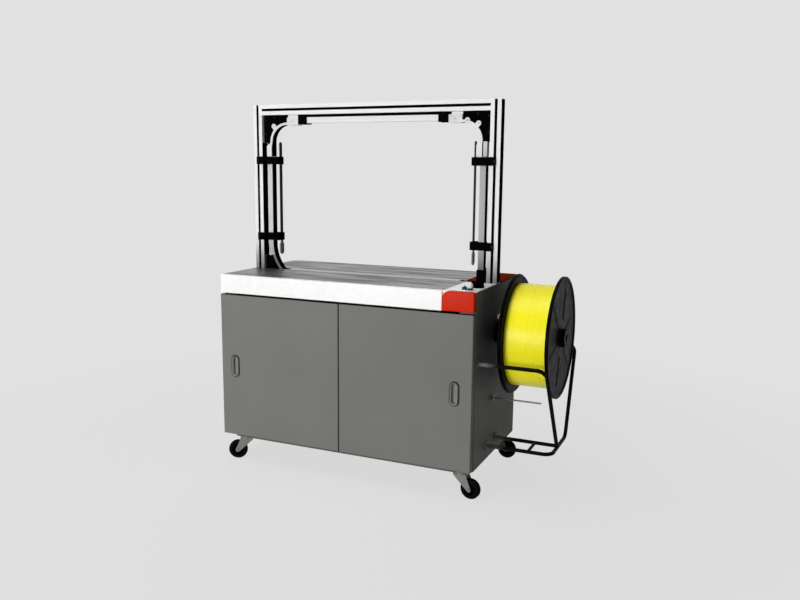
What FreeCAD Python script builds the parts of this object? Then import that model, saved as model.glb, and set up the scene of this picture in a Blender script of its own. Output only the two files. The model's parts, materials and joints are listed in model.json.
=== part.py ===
import FreeCAD, Part
import math
import os
import Sketcher

Vector = FreeCAD.Vector
Rotation = FreeCAD.Rotation
doc = FreeCAD.newDocument("ArchStrappingMachine")
sheet = doc.addObject("Spreadsheet::Sheet", "Sizes")

# Driving dimensions in millimetres.  X runs to the right, Y to the back, Z up from the floor.
SIZES = [
    ("cabinet_width", 1050, "outside width over the side panels"),
    ("cabinet_depth", 566, "front of the doors to the back"),
    ("floor_clearance", 100, "floor to the underside of the base tray"),
    ("table_height", 751, "floor to the top of the table"),
    ("table_sheet", 3, "thickness of the table plates"),
    ("band_height", 70, "height of the white bands under the table"),
    ("rear_fold", 24, "depth of the rear panel and the rear band"),
    ("band_bend", 6, "outer radius of the bands' long edge"),
    ("panel_sheet", 2, "thickness of the side and rear panels"),
    ("panel_flange", 60, "width of the flanges of the side panels"),
    ("front_bend", 14, "outer radius of the side panels' front bend"),
    ("rear_bend", 28, "outer radius of the side panels' rear bend"),
    ("tray_wall", 3, "thickness of the base tray"),
    ("tray_depth", 44, "height of the base tray's walls"),
    ("rib_place", 210, "half the distance between the tray's ribs"),
    ("seam_gap", 0.5, "gap of a closed seam between two sheets"),
    ("door_sheet", 2, "thickness of the doors"),
    ("door_depth", 22, "depth of the door pans"),
    ("door_bend", 5, "outer radius of the doors' vertical bends"),
    ("door_gap", 4, "gap between the two doors"),
    ("door_head_gap", 8, "gap between the doors and the band"),
    ("door_foot_gap", 3, "gap between the doors and the tray's lip"),
    ("pivot_inset", 16, "door pivot from the door's inner edge"),
    ("pivot_setback", 8, "door pivot from the door's front"),
    ("pivot_radius", 4, "radius of the door pivot pins"),
    ("pivot_length", 18, "length of the door pivot pins"),
    ("running_play", 0.05, "radial play of a shaft in its bore"),
    ("post_width", 40, "width and depth of the centre post"),
    ("pivot_notch", 86, "width of the notch that clears the doors' turning edges in the tray's front wall"),
    ("post_wall", 2.5, "wall of the centre post"),
    ("post_setback", 9, "centre post behind the doors"),
    ("pull_width", 38, "width of the oval door pulls"),
    ("pull_height", 91, "height of the oval door pulls"),
    ("pull_rim", 5, "width of the pulls' rim"),
    ("pull_cup", 14, "depth of the pulls' cup"),
    ("pull_wall", 1.5, "wall of the pulls' cup"),
    ("pull_proud", 2, "rim of the pulls in front of the doors"),
    ("pull_inset", 65, "centre of the pulls from the cabinet's side"),
    ("pull_centre_height", 389, "floor to the centre of the pulls"),
    ("catch_length", 46, "length of the door catches"),
    ("catch_width", 14, "width of the door catches"),
    ("catch_depth", 16, "depth of the door catches"),
    ("cap_width", 119, "width of the red end cap"),
    ("cover_width", 131, "width of the red rear corner cover"),
    ("profile_size", 40, "side of the T-slot extrusions"),
    ("slot_mouth", 8, "mouth of the T-slots"),
    ("slot_lip", 4.5, "lip of the T-slots"),
    ("slot_cavity", 18, "width of the T-slots inside"),
    ("slot_depth", 12, "depth of the T-slots"),
    ("profile_bore", 5, "radius of the extrusions' middle bore"),
    ("arch_setback", -10, "middle of the uprights behind the cabinet's middle"),
    ("strap_setback", -2, "plane of the strap behind the cabinet's middle"),
    ("arch_rise", 665, "table to the top of the arch"),
    ("rail_depth", 40, "depth of the rails under the table"),
    ("rail_height", 40, "height of the rails under the table"),
    ("rail_spacing", 66, "plane of the strap to each rail's middle"),
    ("foot_pad", 8, "thickness of the pads under the uprights"),
    ("slot_width", 38, "gap between the front and the rear table plates"),
    ("slide_inset", 110, "ends of the slide plate from the uprights"),
    ("track_width", 29, "width of the strap tracks along Y without their covers"),
    ("cover_thickness", 3, "thickness of the light covers on the tracks' front"),
    ("track_depth", 22, "depth of the strap tracks"),
    ("track_wall", 4, "wall of the strap tracks"),
    ("track_gap", 16.5, "side tracks from the uprights"),
    ("track_drop", 11, "top track below the arch beam"),
    ("corner_radius", 74, "inner radius of the track's upper corners"),
    ("inlet_radius", 150, "inner radius of the track's lower bends"),
    ("inlet_angle", 48, "turn of the track's lower bends in degrees"),
    ("inlet_start", 104, "start of the lower bends above the table"),
    ("guide_web", 0.5, "clearance between the corner guides and the gussets"),
    ("guide_thickness", 4, "thickness of the corner guides' ears"),
    ("ear_radius", 9, "radius of the corner guides' ears"),
    ("ear_reach", 4, "ears' middle inside the corner guides' outer edge"),
    ("ear_bore", 2.6, "radius of the screw holes in the ears"),
    ("guide_tail", 58, "corner guides' straight tail"),
    ("guide_block", 52, "length of the corner guides' end block"),
    ("gusset_leg", 110, "legs of the corner gussets"),
    ("gusset_thickness", 8, "thickness of the corner gussets"),
    ("hanger_length", 38, "length of the top track's hangers along X"),
    ("hanger_wall", 5, "wall of the top track's hangers"),
    ("hanger_place", 300, "middle of the arch to each hanger"),
    ("clamp_height", 31, "height of the track clamps"),
    ("clamp_wall", 6, "wall of the track clamps in front of the uprights and the tracks"),
    ("clamp_end", 3, "wall of the track clamps round the inner rails"),
    ("clamp_seat", 33, "length of the track clamps on the uprights' front"),
    ("foot_rise", 52, "height of the foot blocks above the table"),
    ("clamp_low", 134, "table to the lower clamps' middle"),
    ("inner_rail_width", 4, "thickness of the inner rails along X"),
    ("inner_rail_depth", 16, "depth of the inner rails along Y"),
    ("tongue_depth", 28, "depth of the inner rails' lower tongue"),
    ("tongue_height", 50, "height of the inner rails' lower tongue"),
    ("inner_rail_foot", 60, "table to the foot of the inner rails"),
    ("inner_rail_gap", 24.5, "inner rails from the side tracks"),
    ("reel_height", 565, "floor to the reel's axis"),
    ("reel_clear", 71, "side panel to the inner flange"),
    ("reel_width", 154, "between the reel's flanges"),
    ("flange_radius", 217, "outer radius of the reel's flanges"),
    ("flange_thickness", 8, "thickness of the reel's flanges"),
    ("flange_rim", 4, "radius of the flanges' rolled edge"),
    ("coil_radius", 200, "outer radius of the strap coil"),
    ("core_radius", 100, "outer radius of the reel's drum"),
    ("core_wall", 5, "wall of the reel's drum"),
    ("coil_play", 0.5, "gap between the coil and the drum or flanges"),
    ("shaft_radius", 15, "radius of the fixed reel shaft"),
    ("hub_wall", 6, "wall of the reel's hub tube"),
    ("bracket_radius", 40, "radius of the reel bracket's plate"),
    ("bracket_plate", 6, "thickness of the reel bracket's plate"),
    ("bracket_neck", 26, "radius of the reel bracket's neck"),
    ("knob_radius", 34, "outer radius of the lock knob"),
    ("knob_thickness", 14, "thickness of the lock knob"),
    ("knob_lobe", 9, "radius of the lock knob's finger hollows"),
    ("boss_radius", 65, "radius of the outer flange's boss"),
    ("boss_thickness", 5, "thickness of the outer flange's boss"),
    ("guard_radius", 7, "radius of the guard's tube"),
    ("guard_reach", 245, "side panel to the guard's upright run"),
    ("guard_bend", 34, "bend radius of the guard's tube"),
    ("guard_arm_front", 233, "front arm before the reel's axis"),
    ("guard_arm_rear", 247, "rear arm behind the reel's axis"),
    ("guard_arm_drop", 73, "reel's axis down to the guard's arms"),
    ("guard_foot_height", 152, "floor to the guard's low bars"),
    ("guard_front_foot", 14, "front run's foot before the reel's axis"),
    ("guard_rear_foot", 126, "rear run's foot behind the reel's axis"),
    ("guard_near_bar", 103, "near low bar before the reel's axis"),
    ("guard_far_bar", 6, "far low bar behind the reel's axis"),
    ("guard_cross_place", 158, "side panel to the low bars' cross piece"),
    ("guard_foot_radius", 17, "radius of the guard's screw-on feet"),
    ("guard_foot_thickness", 4, "thickness of the guard's feet"),
    ("rod_radius", 3, "radius of the guide rod"),
    ("rod_length", 188, "length of the guide rod"),
    ("rod_drop", 43, "strap coil's lowest line down to the guide rod"),
    ("rod_front", 45, "guide rod before the reel's axis"),
    ("rod_seat", 10, "radius of the guide rod's nut"),
    ("rod_nut", 7, "thickness of the guide rod's nut"),
    ("inlet_rise", 16, "reel bracket's upper edge to the strap inlet"),
    ("inlet_flange", 13, "radius of the strap inlet's flange"),
    ("inlet_body", 9, "radius of the strap inlet's body"),
    ("inlet_proud", 10, "strap inlet outside the side panel"),
    ("inlet_slot", 3, "height of the strap inlet's slot"),
    ("caster_left", 87, "cabinet's left side to the left casters"),
    ("caster_right", 45, "cabinet's right side to the right casters"),
    ("caster_front", 38, "cabinet's front to the front casters"),
    ("caster_rear", 71, "cabinet's back to the rear casters"),
    ("caster_trail", 38, "caster stem to the wheel's axle"),
    ("wheel_radius", 37.5, "radius of the caster wheels"),
    ("wheel_width", 24, "width of the caster wheels"),
    ("wheel_shoulder", 6, "radius of the wheels' shoulders"),
    ("wheel_face", 24, "radius of the wheels' disc"),
    ("wheel_recess", 4, "recess of the wheels' disc"),
    ("axle_radius", 4, "radius of the caster axles"),
    ("fork_play", 1.5, "gap between wheel and fork"),
    ("fork_sheet", 3, "thickness of the caster forks"),
    ("fork_crown", 46, "half length of a fork's crown"),
    ("cup_radius", 26, "radius of the caster's bearing cup"),
    ("cup_height", 11, "height of the caster's bearing cup"),
    ("stem_radius", 6, "radius of the caster stems"),
    ("stem_length", 24, "length of the caster stems"),
    ("boss_wall", 6, "wall of the tray's caster bosses"),
    ("switch_radius", 10, "radius of the main switch's knob"),
    ("switch_height", 16, "height of the main switch's knob"),
    ("switch_stem", 5, "radius of the switch and button stems"),
    ("switch_inset", 51, "main switch from the cabinet's side"),
    ("switch_front", 45, "main switch behind the cabinet's front"),
    ("button_inset", 34, "reset button from the cabinet's side"),
    ("button_front", 57, "reset button behind the cabinet's front"),
    ("button_radius", 9, "radius of the reset button"),
    ("button_height", 20, "height of the reset button"),
    ("button_travel", 4, "travel of the reset button"),
    ("dial_inset", 33, "right side to the tension dial's middle"),
    ("dial_front", 133, "front to the tension dial's middle"),
    ("dial_radius", 24, "radius of the tension dial"),
    ("dial_height", 20, "height of the tension dial"),
    ("head_width", 190, "width of the sealing head"),
    ("head_place", 215, "cabinet's middle to the sealing head's middle"),
    ("head_depth", 78, "depth of the sealing head along Y"),
    ("head_height", 150, "height of the sealing head"),
    ("motor_radius", 58, "radius of the gear motor"),
    ("motor_length", 190, "length of the gear motor"),
    ("gearbox_size", 104, "side of the motor's gearbox"),
    ("feed_plate", 10, "thickness of the feed unit's plate"),
    ("feed_width", 120, "width of the feed unit's plate"),
    ("feed_gap", 30, "sealing head to the feed plate"),
    ("cam_reach", 20, "cam case beyond each end of the sealing head"),
    ("fan_length", 24, "length of the motor's fan cover"),
    ("feed_drop", 230, "height of the feed unit's plate"),
    ("feed_roller_radius", 32, "radius of the feed roller"),
    ("pinch_roller_radius", 22, "radius of the pinch roller"),
    ("roller_width", 20, "width of the feed rollers"),
    ("roller_pin", 6, "radius of the feed rollers' pins"),
    ("magazine_width", 420, "width of the strap magazine"),
    ("magazine_height", 330, "height of the strap magazine"),
    ("magazine_depth", 60, "depth of the strap magazine"),
    ("magazine_sheet", 2, "sheet of the strap magazine"),
    ("box_width", 250, "width of the electric box"),
    ("box_height", 300, "height of the electric box"),
    ("box_depth", 120, "depth of the electric box"),
]


class Term:
    """A length, as its number and as the sheet expression that gives it."""

    def __init__(self, number, text):
        self.number = number
        self.text = text

    def __add__(self, other):
        other = term(other)
        return Term(self.number + other.number, f"({self.text} + {other.text})")

    def __sub__(self, other):
        other = term(other)
        return Term(self.number - other.number, f"({self.text} - {other.text})")

    def __rsub__(self, other):
        return term(other) - self

    def __mul__(self, factor):
        factor = term(factor)
        return Term(self.number * factor.number, f"({self.text} * {factor.text})")

    def __truediv__(self, factor):
        factor = term(factor)
        return Term(self.number / factor.number, f"({self.text} / {factor.text})")

    def __neg__(self):
        return Term(-self.number, f"(-1 * {self.text})")

    __radd__ = __add__
    __rmul__ = __mul__


def term(value):
    """Wraps a plain number as a Term."""
    if isinstance(value, Term):
        return value
    return Term(float(value), repr(float(value)))


def size(name):
    """The named size of the sheet."""
    return Term(NUMBERS[name], "Sizes." + name)


NUMBERS = {}
for row, (alias, number, note) in enumerate(SIZES, start=1):
    sheet.set(f"A{row}", alias)
    sheet.set(f"B{row}", str(number))
    sheet.set(f"C{row}", note)
    sheet.setAlias(f"B{row}", alias)
    NUMBERS[alias] = float(number)
doc.recompute()

# Places that several pieces share, all from the sizes above.
half_width = size("cabinet_width") / 2
half_depth = size("cabinet_depth") / 2
door_back = -half_depth + size("door_depth")
panel_front = door_back + 2 * size("seam_gap")
side_top = size("table_height") - size("table_sheet")
band_foot = size("table_height") - size("band_height")
door_head = band_foot - size("door_head_gap")
tray_floor = size("floor_clearance") + size("tray_wall")
tray_top = size("floor_clearance") + size("tray_depth")
door_foot = tray_floor + size("door_foot_gap")
arch_front = size("arch_setback") - size("profile_size") / 2
arch_back = size("arch_setback") + size("profile_size") / 2
arch_top = size("table_height") + size("arch_rise")
beam_foot = arch_top - size("profile_size")
upright_inner = half_width - size("profile_size")
track_outer = upright_inner - size("track_gap")
track_inner = track_outer - size("track_depth")
rail_top = side_top - size("foot_pad")
flange_inside = half_width + size("reel_clear")
coil_start = flange_inside + size("flange_thickness")
coil_end = coil_start + size("reel_width")
reel_end = coil_end + size("flange_thickness")
guard_line = half_width + size("guard_reach")
strap_front = size("strap_setback") - (size("track_width") + size("cover_thickness")) / 2
inlet_level = size("reel_height") + size("bracket_radius") + size("inlet_rise")
hub_end = reel_end + size("boss_thickness") + size("knob_thickness")
centre_x = (half_width - hub_end) / 2
centre_y = size("pull_proud") / 2

nodes = {}


def bind(thing, path, value):
    """Binds one property to a size, or sets it when it is a plain number."""
    if isinstance(value, Term):
        thing.setExpression(path, value.text)
    else:
        setattr(thing, path, value)


def keep(thing, label, place=(0, 0, 0)):
    """Names a finished sub-part and stands it in the machine's frame, centred over the floor."""
    thing.Label = label
    put(thing, centre_x + place[0], centre_y + place[1], place[2])
    nodes[label] = thing
    return thing


def put(thing, x, y, z):
    """Places an object at a point given in sizes."""
    for axis, value in zip("xyz", (x, y, z)):
        thing.setExpression(f"Placement.Base.{axis}", term(value).text)
    return thing


def box(name, low, high):
    """A block between two corners."""
    block = doc.addObject("Part::Box", name)
    for prop, lower, upper in zip(("Length", "Width", "Height"), low, high):
        block.setExpression(prop, (term(upper) - term(lower)).text)
    return put(block, *low)


AXIS_TURN = {
    "x": Rotation(Vector(0, 1, 0), 90),
    "y": Rotation(Vector(1, 0, 0), -90),
    "z": Rotation(),
}


def rod(name, axis, start, radius, length):
    """A cylinder from a start point along X, Y or Z."""
    bar = doc.addObject("Part::Cylinder", name)
    bind(bar, "Radius", term(radius))
    bind(bar, "Height", term(length))
    bar.Placement = FreeCAD.Placement(Vector(), AXIS_TURN[axis])
    return put(bar, *start)


def join(name, pieces):
    """Several touching solids welded or moulded into one."""
    whole = doc.addObject("Part::MultiFuse", name)
    whole.Shapes = pieces
    whole.Refine = True
    return whole


def carve(name, base, tools):
    """A solid with others taken out of it."""
    tool = tools[0] if len(tools) == 1 else join(name + "Tools", tools)
    rest = doc.addObject("Part::Cut", name)
    rest.Base = base
    rest.Tool = tool
    rest.Refine = True
    return rest


def group(name, pieces):
    """Like solids that share one node."""
    batch = doc.addObject("Part::Compound", name)
    batch.Links = pieces
    return batch


def new_body(name):
    """An empty PartDesign body."""
    return doc.addObject("PartDesign::Body", name)


def new_sketch(body, name, plane, offset):
    """A sketch on one of the body's own planes, moved along the plane's normal."""
    sketch = body.newObject("Sketcher::SketchObject", name)
    support = [item for item in body.Origin.OriginFeatures if item.Role == plane][0]
    sketch.AttachmentSupport = [(support, "")]
    sketch.MapMode = "FlatFace"
    sketch.setExpression("AttachmentOffset.Base.z", term(offset).text)
    return sketch


def pin_point(sketch, geometry, end, point):
    """Ties one end of a sketch line to its two sizes."""
    for kind, value in zip(("DistanceX", "DistanceY"), point):
        value = term(value)
        index = sketch.addConstraint(Sketcher.Constraint(kind, -1, 1, geometry, end, value.number))
        sketch.setExpression(f"Constraints[{index}]", value.text)


def outline(sketch, points):
    """A closed outline of straight lines through points given in sizes."""
    corners = [Vector(term(x).number, term(y).number, 0) for x, y in points]
    first = sketch.GeometryCount
    for index, corner in enumerate(corners):
        following = corners[(index + 1) % len(corners)]
        sketch.addGeometry(Part.LineSegment(corner, following), False)
    for index in range(len(corners)):
        following = first + (index + 1) % len(corners)
        sketch.addConstraint(Sketcher.Constraint("Coincident", first + index, 2, following, 1))
    for index, point in enumerate(points):
        pin_point(sketch, first + index, 1, point)
    return sketch


def ring(sketch, centre, radius):
    """A circle in a sketch, by its centre and radius."""
    middle = Vector(term(centre[0]).number, term(centre[1]).number, 0)
    radius = term(radius)
    circle = sketch.addGeometry(Part.Circle(middle, Vector(0, 0, 1), radius.number), False)
    pin_point(sketch, circle, 3, centre)
    index = sketch.addConstraint(Sketcher.Constraint("Radius", circle, radius.number))
    sketch.setExpression(f"Constraints[{index}]", radius.text)
    return sketch


def axis_line(sketch, start, end):
    """A construction line that a revolved feature turns about."""
    ends = [Vector(term(x).number, term(y).number, 0) for x, y in (start, end)]
    line = sketch.addGeometry(Part.LineSegment(*ends), True)
    pin_point(sketch, line, 1, start)
    pin_point(sketch, line, 2, end)
    return (sketch, ["Axis0"])


def corners_of(low, high):
    """The four corners of a rectangle."""
    return [(low[0], low[1]), (high[0], low[1]), (high[0], high[1]), (low[0], high[1])]


def pad(body, sketch, length, reverse=False, middle=False):
    """Material along the sketch's normal."""
    feature = body.newObject("PartDesign::Pad", sketch.Name + "Pad")
    feature.Profile = sketch
    bind(feature, "Length", term(length))
    feature.Reversed = reverse
    feature.Midplane = middle
    sketch.Visibility = False
    doc.recompute()
    return feature


def pocket(body, sketch, length=None, reverse=False):
    """A cut along the sketch's normal, through everything when no length is given."""
    before = body.Shape.Volume
    feature = body.newObject("PartDesign::Pocket", sketch.Name + "Pocket")
    feature.Profile = sketch
    if length is None:
        feature.Type = 1
        feature.Midplane = True
    else:
        bind(feature, "Length", term(length))
        feature.Reversed = reverse
    doc.recompute()
    if body.Shape.Volume > before - 1e-3:
        raise RuntimeError(sketch.Name + " cuts nothing")
    return feature


def turned(body, sketch, axis, angle=360, reverse=False):
    """Material turned about an axis in the sketch."""
    feature = body.newObject("PartDesign::Revolution", sketch.Name + "Turn")
    feature.Profile = sketch
    feature.ReferenceAxis = axis
    bind(feature, "Angle", term(angle))
    feature.Reversed = reverse
    doc.recompute()
    return feature


def side_names(feature, kind, **wanted):
    """Names the edges or faces that lie on the given sides of a feature's box."""
    whole = feature.Shape.BoundBox
    sides = {}
    for axis in "XYZ":
        sides[axis + "min"] = getattr(whole, axis + "Min")
        sides[axis + "max"] = getattr(whole, axis + "Max")
    names = []
    for index, item in enumerate(getattr(feature.Shape, kind + "s"), start=1):
        near = True
        for axis, side in wanted.items():
            low = getattr(item.BoundBox, axis + "Min")
            high = getattr(item.BoundBox, axis + "Max")
            place = sides[axis + side]
            near = near and abs(low - place) < 1e-4 and abs(high - place) < 1e-4
        if near:
            names.append(f"{kind}{index}")
    return names


def round_edges(body, feature, radius, *places):
    """Rounds the edges at the named sides of a feature's box."""
    names = []
    for place in places:
        names += side_names(feature, "Edge", **place)
    fillet = body.newObject("PartDesign::Fillet", feature.Name + "Round")
    fillet.Base = (feature, names)
    bind(fillet, "Radius", term(radius))
    doc.recompute()
    return fillet


def hollow(body, feature, wall, *places):
    """Leaves a shell of one wall thickness, open at the named sides."""
    names = []
    for place in places:
        names += side_names(feature, "Face", **place)
    shell = body.newObject("PartDesign::Thickness", feature.Name + "Shell")
    shell.Base = (feature, names)
    bind(shell, "Value", term(wall))
    shell.Reversed = True
    doc.recompute()
    return shell


# ---------------------------------------------------------------- cabinet


def base_tray():
    """The welded tray that carries everything: floor, walls, lip, ribs and caster bosses."""
    body = new_body("BaseTray")
    wall = size("tray_wall")
    side = half_width - size("panel_sheet")
    back = half_depth - size("panel_sheet")
    front = panel_front + size("panel_sheet")
    base = size("floor_clearance")
    block = pad(
        body,
        outline(new_sketch(body, "TrayPlan", "XY_Plane", base), corners_of((-side, front), (side, back))),
        size("tray_depth"),
    )
    rear_round = size("rear_bend") - size("panel_sheet") + size("seam_gap")
    front_round = size("front_bend") - size("panel_sheet") + size("seam_gap")
    block = round_edges(body, block, rear_round, {"X": "min", "Y": "max"}, {"X": "max", "Y": "max"})
    block = round_edges(body, block, front_round, {"X": "min", "Y": "min"}, {"X": "max", "Y": "min"})
    hollow(body, block, wall, {"Z": "max"})
    lip = new_sketch(body, "TrayLip", "XY_Plane", base)
    lip_front = -half_depth + size("door_sheet")
    lip_end = half_width - size("panel_flange") - size("seam_gap")
    outline(lip, corners_of((-lip_end, lip_front), (lip_end, front + size("tray_depth") / 2)))
    pad(body, lip, wall)
    ribs = new_sketch(body, "TrayRibs", "XY_Plane", base)
    for hand in (-1, 1):
        place = hand * size("rib_place")
        low = (place - wall / 2, front + wall / 2)
        high = (place + wall / 2, back - wall / 2)
        outline(ribs, corners_of(low, high))
    pad(body, ribs, size("tray_depth"))
    bosses = new_sketch(body, "CasterBosses", "XY_Plane", base)
    bores = new_sketch(body, "CasterBores", "XY_Plane", base)
    for x, y in caster_places().values():
        ring(bosses, (x, y), size("stem_radius") + size("boss_wall"))
        ring(bores, (x, y), size("stem_radius") + size("running_play"))
    pad(body, bosses, size("stem_length") + wall)
    pocket(body, bores)
    notch = new_sketch(body, "PivotNotch", "XY_Plane", base + wall)
    reach = size("pivot_notch") / 2
    outline(notch, corners_of((-reach, front - wall), (reach, front + wall + size("seam_gap"))))
    pocket(body, notch, size("tray_depth"), reverse=True)
    keep(body, "base_tray")


def caster_places():
    """The four stem centres, by their corner."""
    left = size("caster_left") - half_width
    right = half_width - size("caster_right")
    front = size("caster_front") - half_depth
    back = half_depth - size("caster_rear")
    return {
        "front_left": (left, front),
        "front_right": (right, front),
        "rear_left": (left, back),
        "rear_right": (right, back),
    }


def side_panel(hand, label):
    """A side panel bent round both vertical corners."""
    body = new_body("SidePanel" + label.title())
    inner = hand * (half_width - size("panel_flange"))
    plan = new_sketch(body, "SidePlan" + label.title(), "XY_Plane", size("floor_clearance"))
    outline(plan, corners_of((inner, panel_front), (hand * half_width, half_depth)))
    block = pad(body, plan, side_top - size("floor_clearance"))
    outside = "max" if hand > 0 else "min"
    inside = "min" if hand > 0 else "max"
    block = round_edges(body, block, size("rear_bend"), {"X": outside, "Y": "max"})
    block = round_edges(body, block, size("front_bend"), {"X": outside, "Y": "min"})
    hollow(body, block, size("panel_sheet"), {"X": inside}, {"Z": "min"}, {"Z": "max"})
    if hand > 0:
        hole = new_sketch(body, "InletHole", "YZ_Plane", half_width)
        ring(hole, (0, inlet_level), size("inlet_body") + size("running_play"))
        pocket(body, hole, size("panel_sheet") * 2)
    keep(body, "side_panel_" + label)


def rear_sheets():
    """The rear panel and the rear band, folded pans between the side panels' rear flanges."""
    edge = half_width - size("panel_flange") - size("seam_gap")
    parts = (
        ("RearPanel", "rear_panel", tray_top + size("seam_gap"), band_foot - size("seam_gap")),
        ("RearBand", "rear_band", band_foot, side_top),
    )
    for name, label, foot, head in parts:
        body = new_body(name)
        plan = new_sketch(body, name + "Face", "XZ_Plane", -half_depth)
        outline(plan, corners_of((-edge, foot), (edge, head)))
        block = pad(body, plan, size("rear_fold"))
        hollow(body, block, size("panel_sheet"), {"Y": "min"})
        keep(body, label)


def door(hand, label):
    """One front door: a folded pan, hung on two pivots beside the centre post."""
    body = new_body("Door" + label.title())
    edge = hand * size("door_gap") / 2
    plan = new_sketch(body, "DoorFace" + label.title(), "XZ_Plane", -door_back)
    outline(plan, corners_of((edge, door_foot), (hand * half_width, door_head)))
    block = pad(body, plan, size("door_depth"))
    outside = "max" if hand > 0 else "min"
    inside = "min" if hand > 0 else "max"
    block = round_edges(body, block, size("door_bend"), {"X": outside, "Y": "min"})
    block = round_edges(body, block, size("door_bend") / 2, {"X": inside, "Y": "min"})
    hollow(body, block, size("door_sheet"), {"Y": "max"})
    bores = new_sketch(body, "DoorBores" + label.title(), "XY_Plane", door_foot)
    ring(bores, (hand * pivot_place(), pivot_line()), size("pivot_radius") + size("running_play"))
    pocket(body, bores)
    window = new_sketch(body, "PullWindow" + label.title(), "XZ_Plane", -door_back)
    slot_outline(window, hand * pull_place(), 2 * size("pull_rim"))
    pocket(body, window)
    keep(body, "door_" + label)


def pivot_place():
    """Distance of the door pivots from the cabinet's middle."""
    return size("door_gap") / 2 + size("pivot_inset")


def pivot_line():
    """Place of the door pivots along Y."""
    return -half_depth + size("pivot_setback")


def pull_place():
    """Distance of the door pulls from the cabinet's middle."""
    return half_width - size("pull_inset")


def slot_outline(sketch, centre, smaller):
    """An upright slot with round ends, less wide and high than the pull by a given amount."""
    radius = (size("pull_width") - smaller) / 2
    reach = (size("pull_height") - smaller) / 2 - radius
    middle = size("pull_centre_height")
    x = centre.number
    top = (middle + reach).number
    foot = (middle - reach).number
    first = sketch.GeometryCount
    upper = Part.Circle(Vector(x, top, 0), Vector(0, 0, 1), radius.number)
    lower = Part.Circle(Vector(x, foot, 0), Vector(0, 0, 1), radius.number)
    sketch.addGeometry(Part.ArcOfCircle(upper, 0, math.pi), False)
    sketch.addGeometry(Part.ArcOfCircle(lower, math.pi, 2 * math.pi), False)
    right = x + radius.number
    left = x - radius.number
    sketch.addGeometry(Part.LineSegment(Vector(left, top, 0), Vector(left, foot, 0)), False)
    sketch.addGeometry(Part.LineSegment(Vector(right, foot, 0), Vector(right, top, 0)), False)
    ties = ((0, 2, 2, 1), (2, 2, 1, 1), (1, 2, 3, 1), (3, 2, 0, 1))
    for one, end, two, start in ties:
        sketch.addConstraint(Sketcher.Constraint("Tangent", first + one, end, first + two, start))
    pin_point(sketch, first, 3, (centre, middle + reach))
    pin_point(sketch, first + 1, 3, (centre, middle - reach))
    index = sketch.addConstraint(Sketcher.Constraint("Radius", first, radius.number))
    sketch.setExpression(f"Constraints[{index}]", radius.text)


def door_pull(hand, label):
    """A flush oval pull: a rim on the door's face and a cup behind it."""
    body = new_body("Pull" + label.title())
    place = hand * pull_place()
    face = -half_depth
    rim = new_sketch(body, "PullRim" + label.title(), "XZ_Plane", -face)
    slot_outline(rim, place, term(0))
    pad(body, rim, size("pull_proud"))
    cup = new_sketch(body, "PullCup" + label.title(), "XZ_Plane", -face)
    slot_outline(cup, place, 2 * size("pull_rim") + 2 * size("running_play"))
    pad(body, cup, size("pull_cup"), reverse=True)
    mouth = new_sketch(body, "PullMouth" + label.title(), "XZ_Plane", -face + size("pull_proud"))
    slot_outline(mouth, place, 2 * size("pull_rim") + 2 * size("pull_wall"))
    depth = size("pull_proud") + size("pull_cup") - size("pull_wall")
    pocket(body, mouth, depth)
    keep(body, "door_pull_" + label)


def centre_post():
    """The square tube between the doors, from the tray to the table rails."""
    half = size("post_width") / 2
    front = door_back + size("post_setback")
    back = front + size("post_width")
    wall = size("post_wall")
    outer = box("PostOuter", (-half, front, tray_floor), (half, back, rail_top - size("rail_height")))
    low = (-half + wall, front + wall, tray_floor - 1)
    high = (half - wall, back - wall, rail_top)
    keep(carve("CentrePost", outer, [box("PostHollow", low, high)]), "centre_post")


def door_pivots():
    """Two pins on the tray's lip and two pins under lugs of the centre post."""
    pieces = []
    radius = size("pivot_radius")
    front = door_back + size("post_setback")
    lug = door_head + size("door_head_gap") / 2
    for hand, side in ((-1, "Left"), (1, "Right")):
        x = hand * pivot_place()
        y = pivot_line()
        washer = rod("Washer" + side, "z", (x, y, tray_floor), radius * 1.6, size("door_foot_gap") - 0.2)
        pin = rod("FootPin" + side, "z", (x, y, tray_floor), radius, size("pivot_length"))
        pieces.append(join("FootPivot" + side, [washer, pin]))
        low_x = x - radius * 1.5
        plate = box(
            "Lug" + side,
            (low_x, y - radius * 1.2, lug - 1),
            (low_x + radius * 3, front, lug + 3),
        )
        start = door_head - size("pivot_length") / 2
        head_pin = rod("HeadPin" + side, "z", (x, y, start), radius, lug - start)
        pieces.append(join("HeadPivot" + side, [plate, head_pin]))
    return pieces


def door_catches():
    """Two magnetic catches on the side panels' front flanges, each just behind its closed door."""
    pieces = []
    half = size("catch_length") / 2
    for hand, label in ((-1, "Left"), (1, "Right")):
        near = hand * (half_width - size("panel_flange"))
        far = near - hand * size("catch_width")
        low_x, high_x = (far, near) if hand > 0 else (near, far)
        magnet = box(
            "Magnet" + label,
            (low_x, panel_front - size("seam_gap") / 2, size("pull_centre_height") - half),
            (high_x, panel_front + size("catch_depth"), size("pull_centre_height") + half),
        )
        seat = near + hand * size("catch_width")
        low_x, high_x = (near, seat) if hand > 0 else (seat, near)
        ear = box(
            "CatchEar" + label,
            (low_x, panel_front + size("panel_sheet"), size("pull_centre_height") - half),
            (high_x, panel_front + size("catch_depth"), size("pull_centre_height") + half),
        )
        pieces.append(join("Catch" + label, [magnet, ear]))
    return pieces


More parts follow.
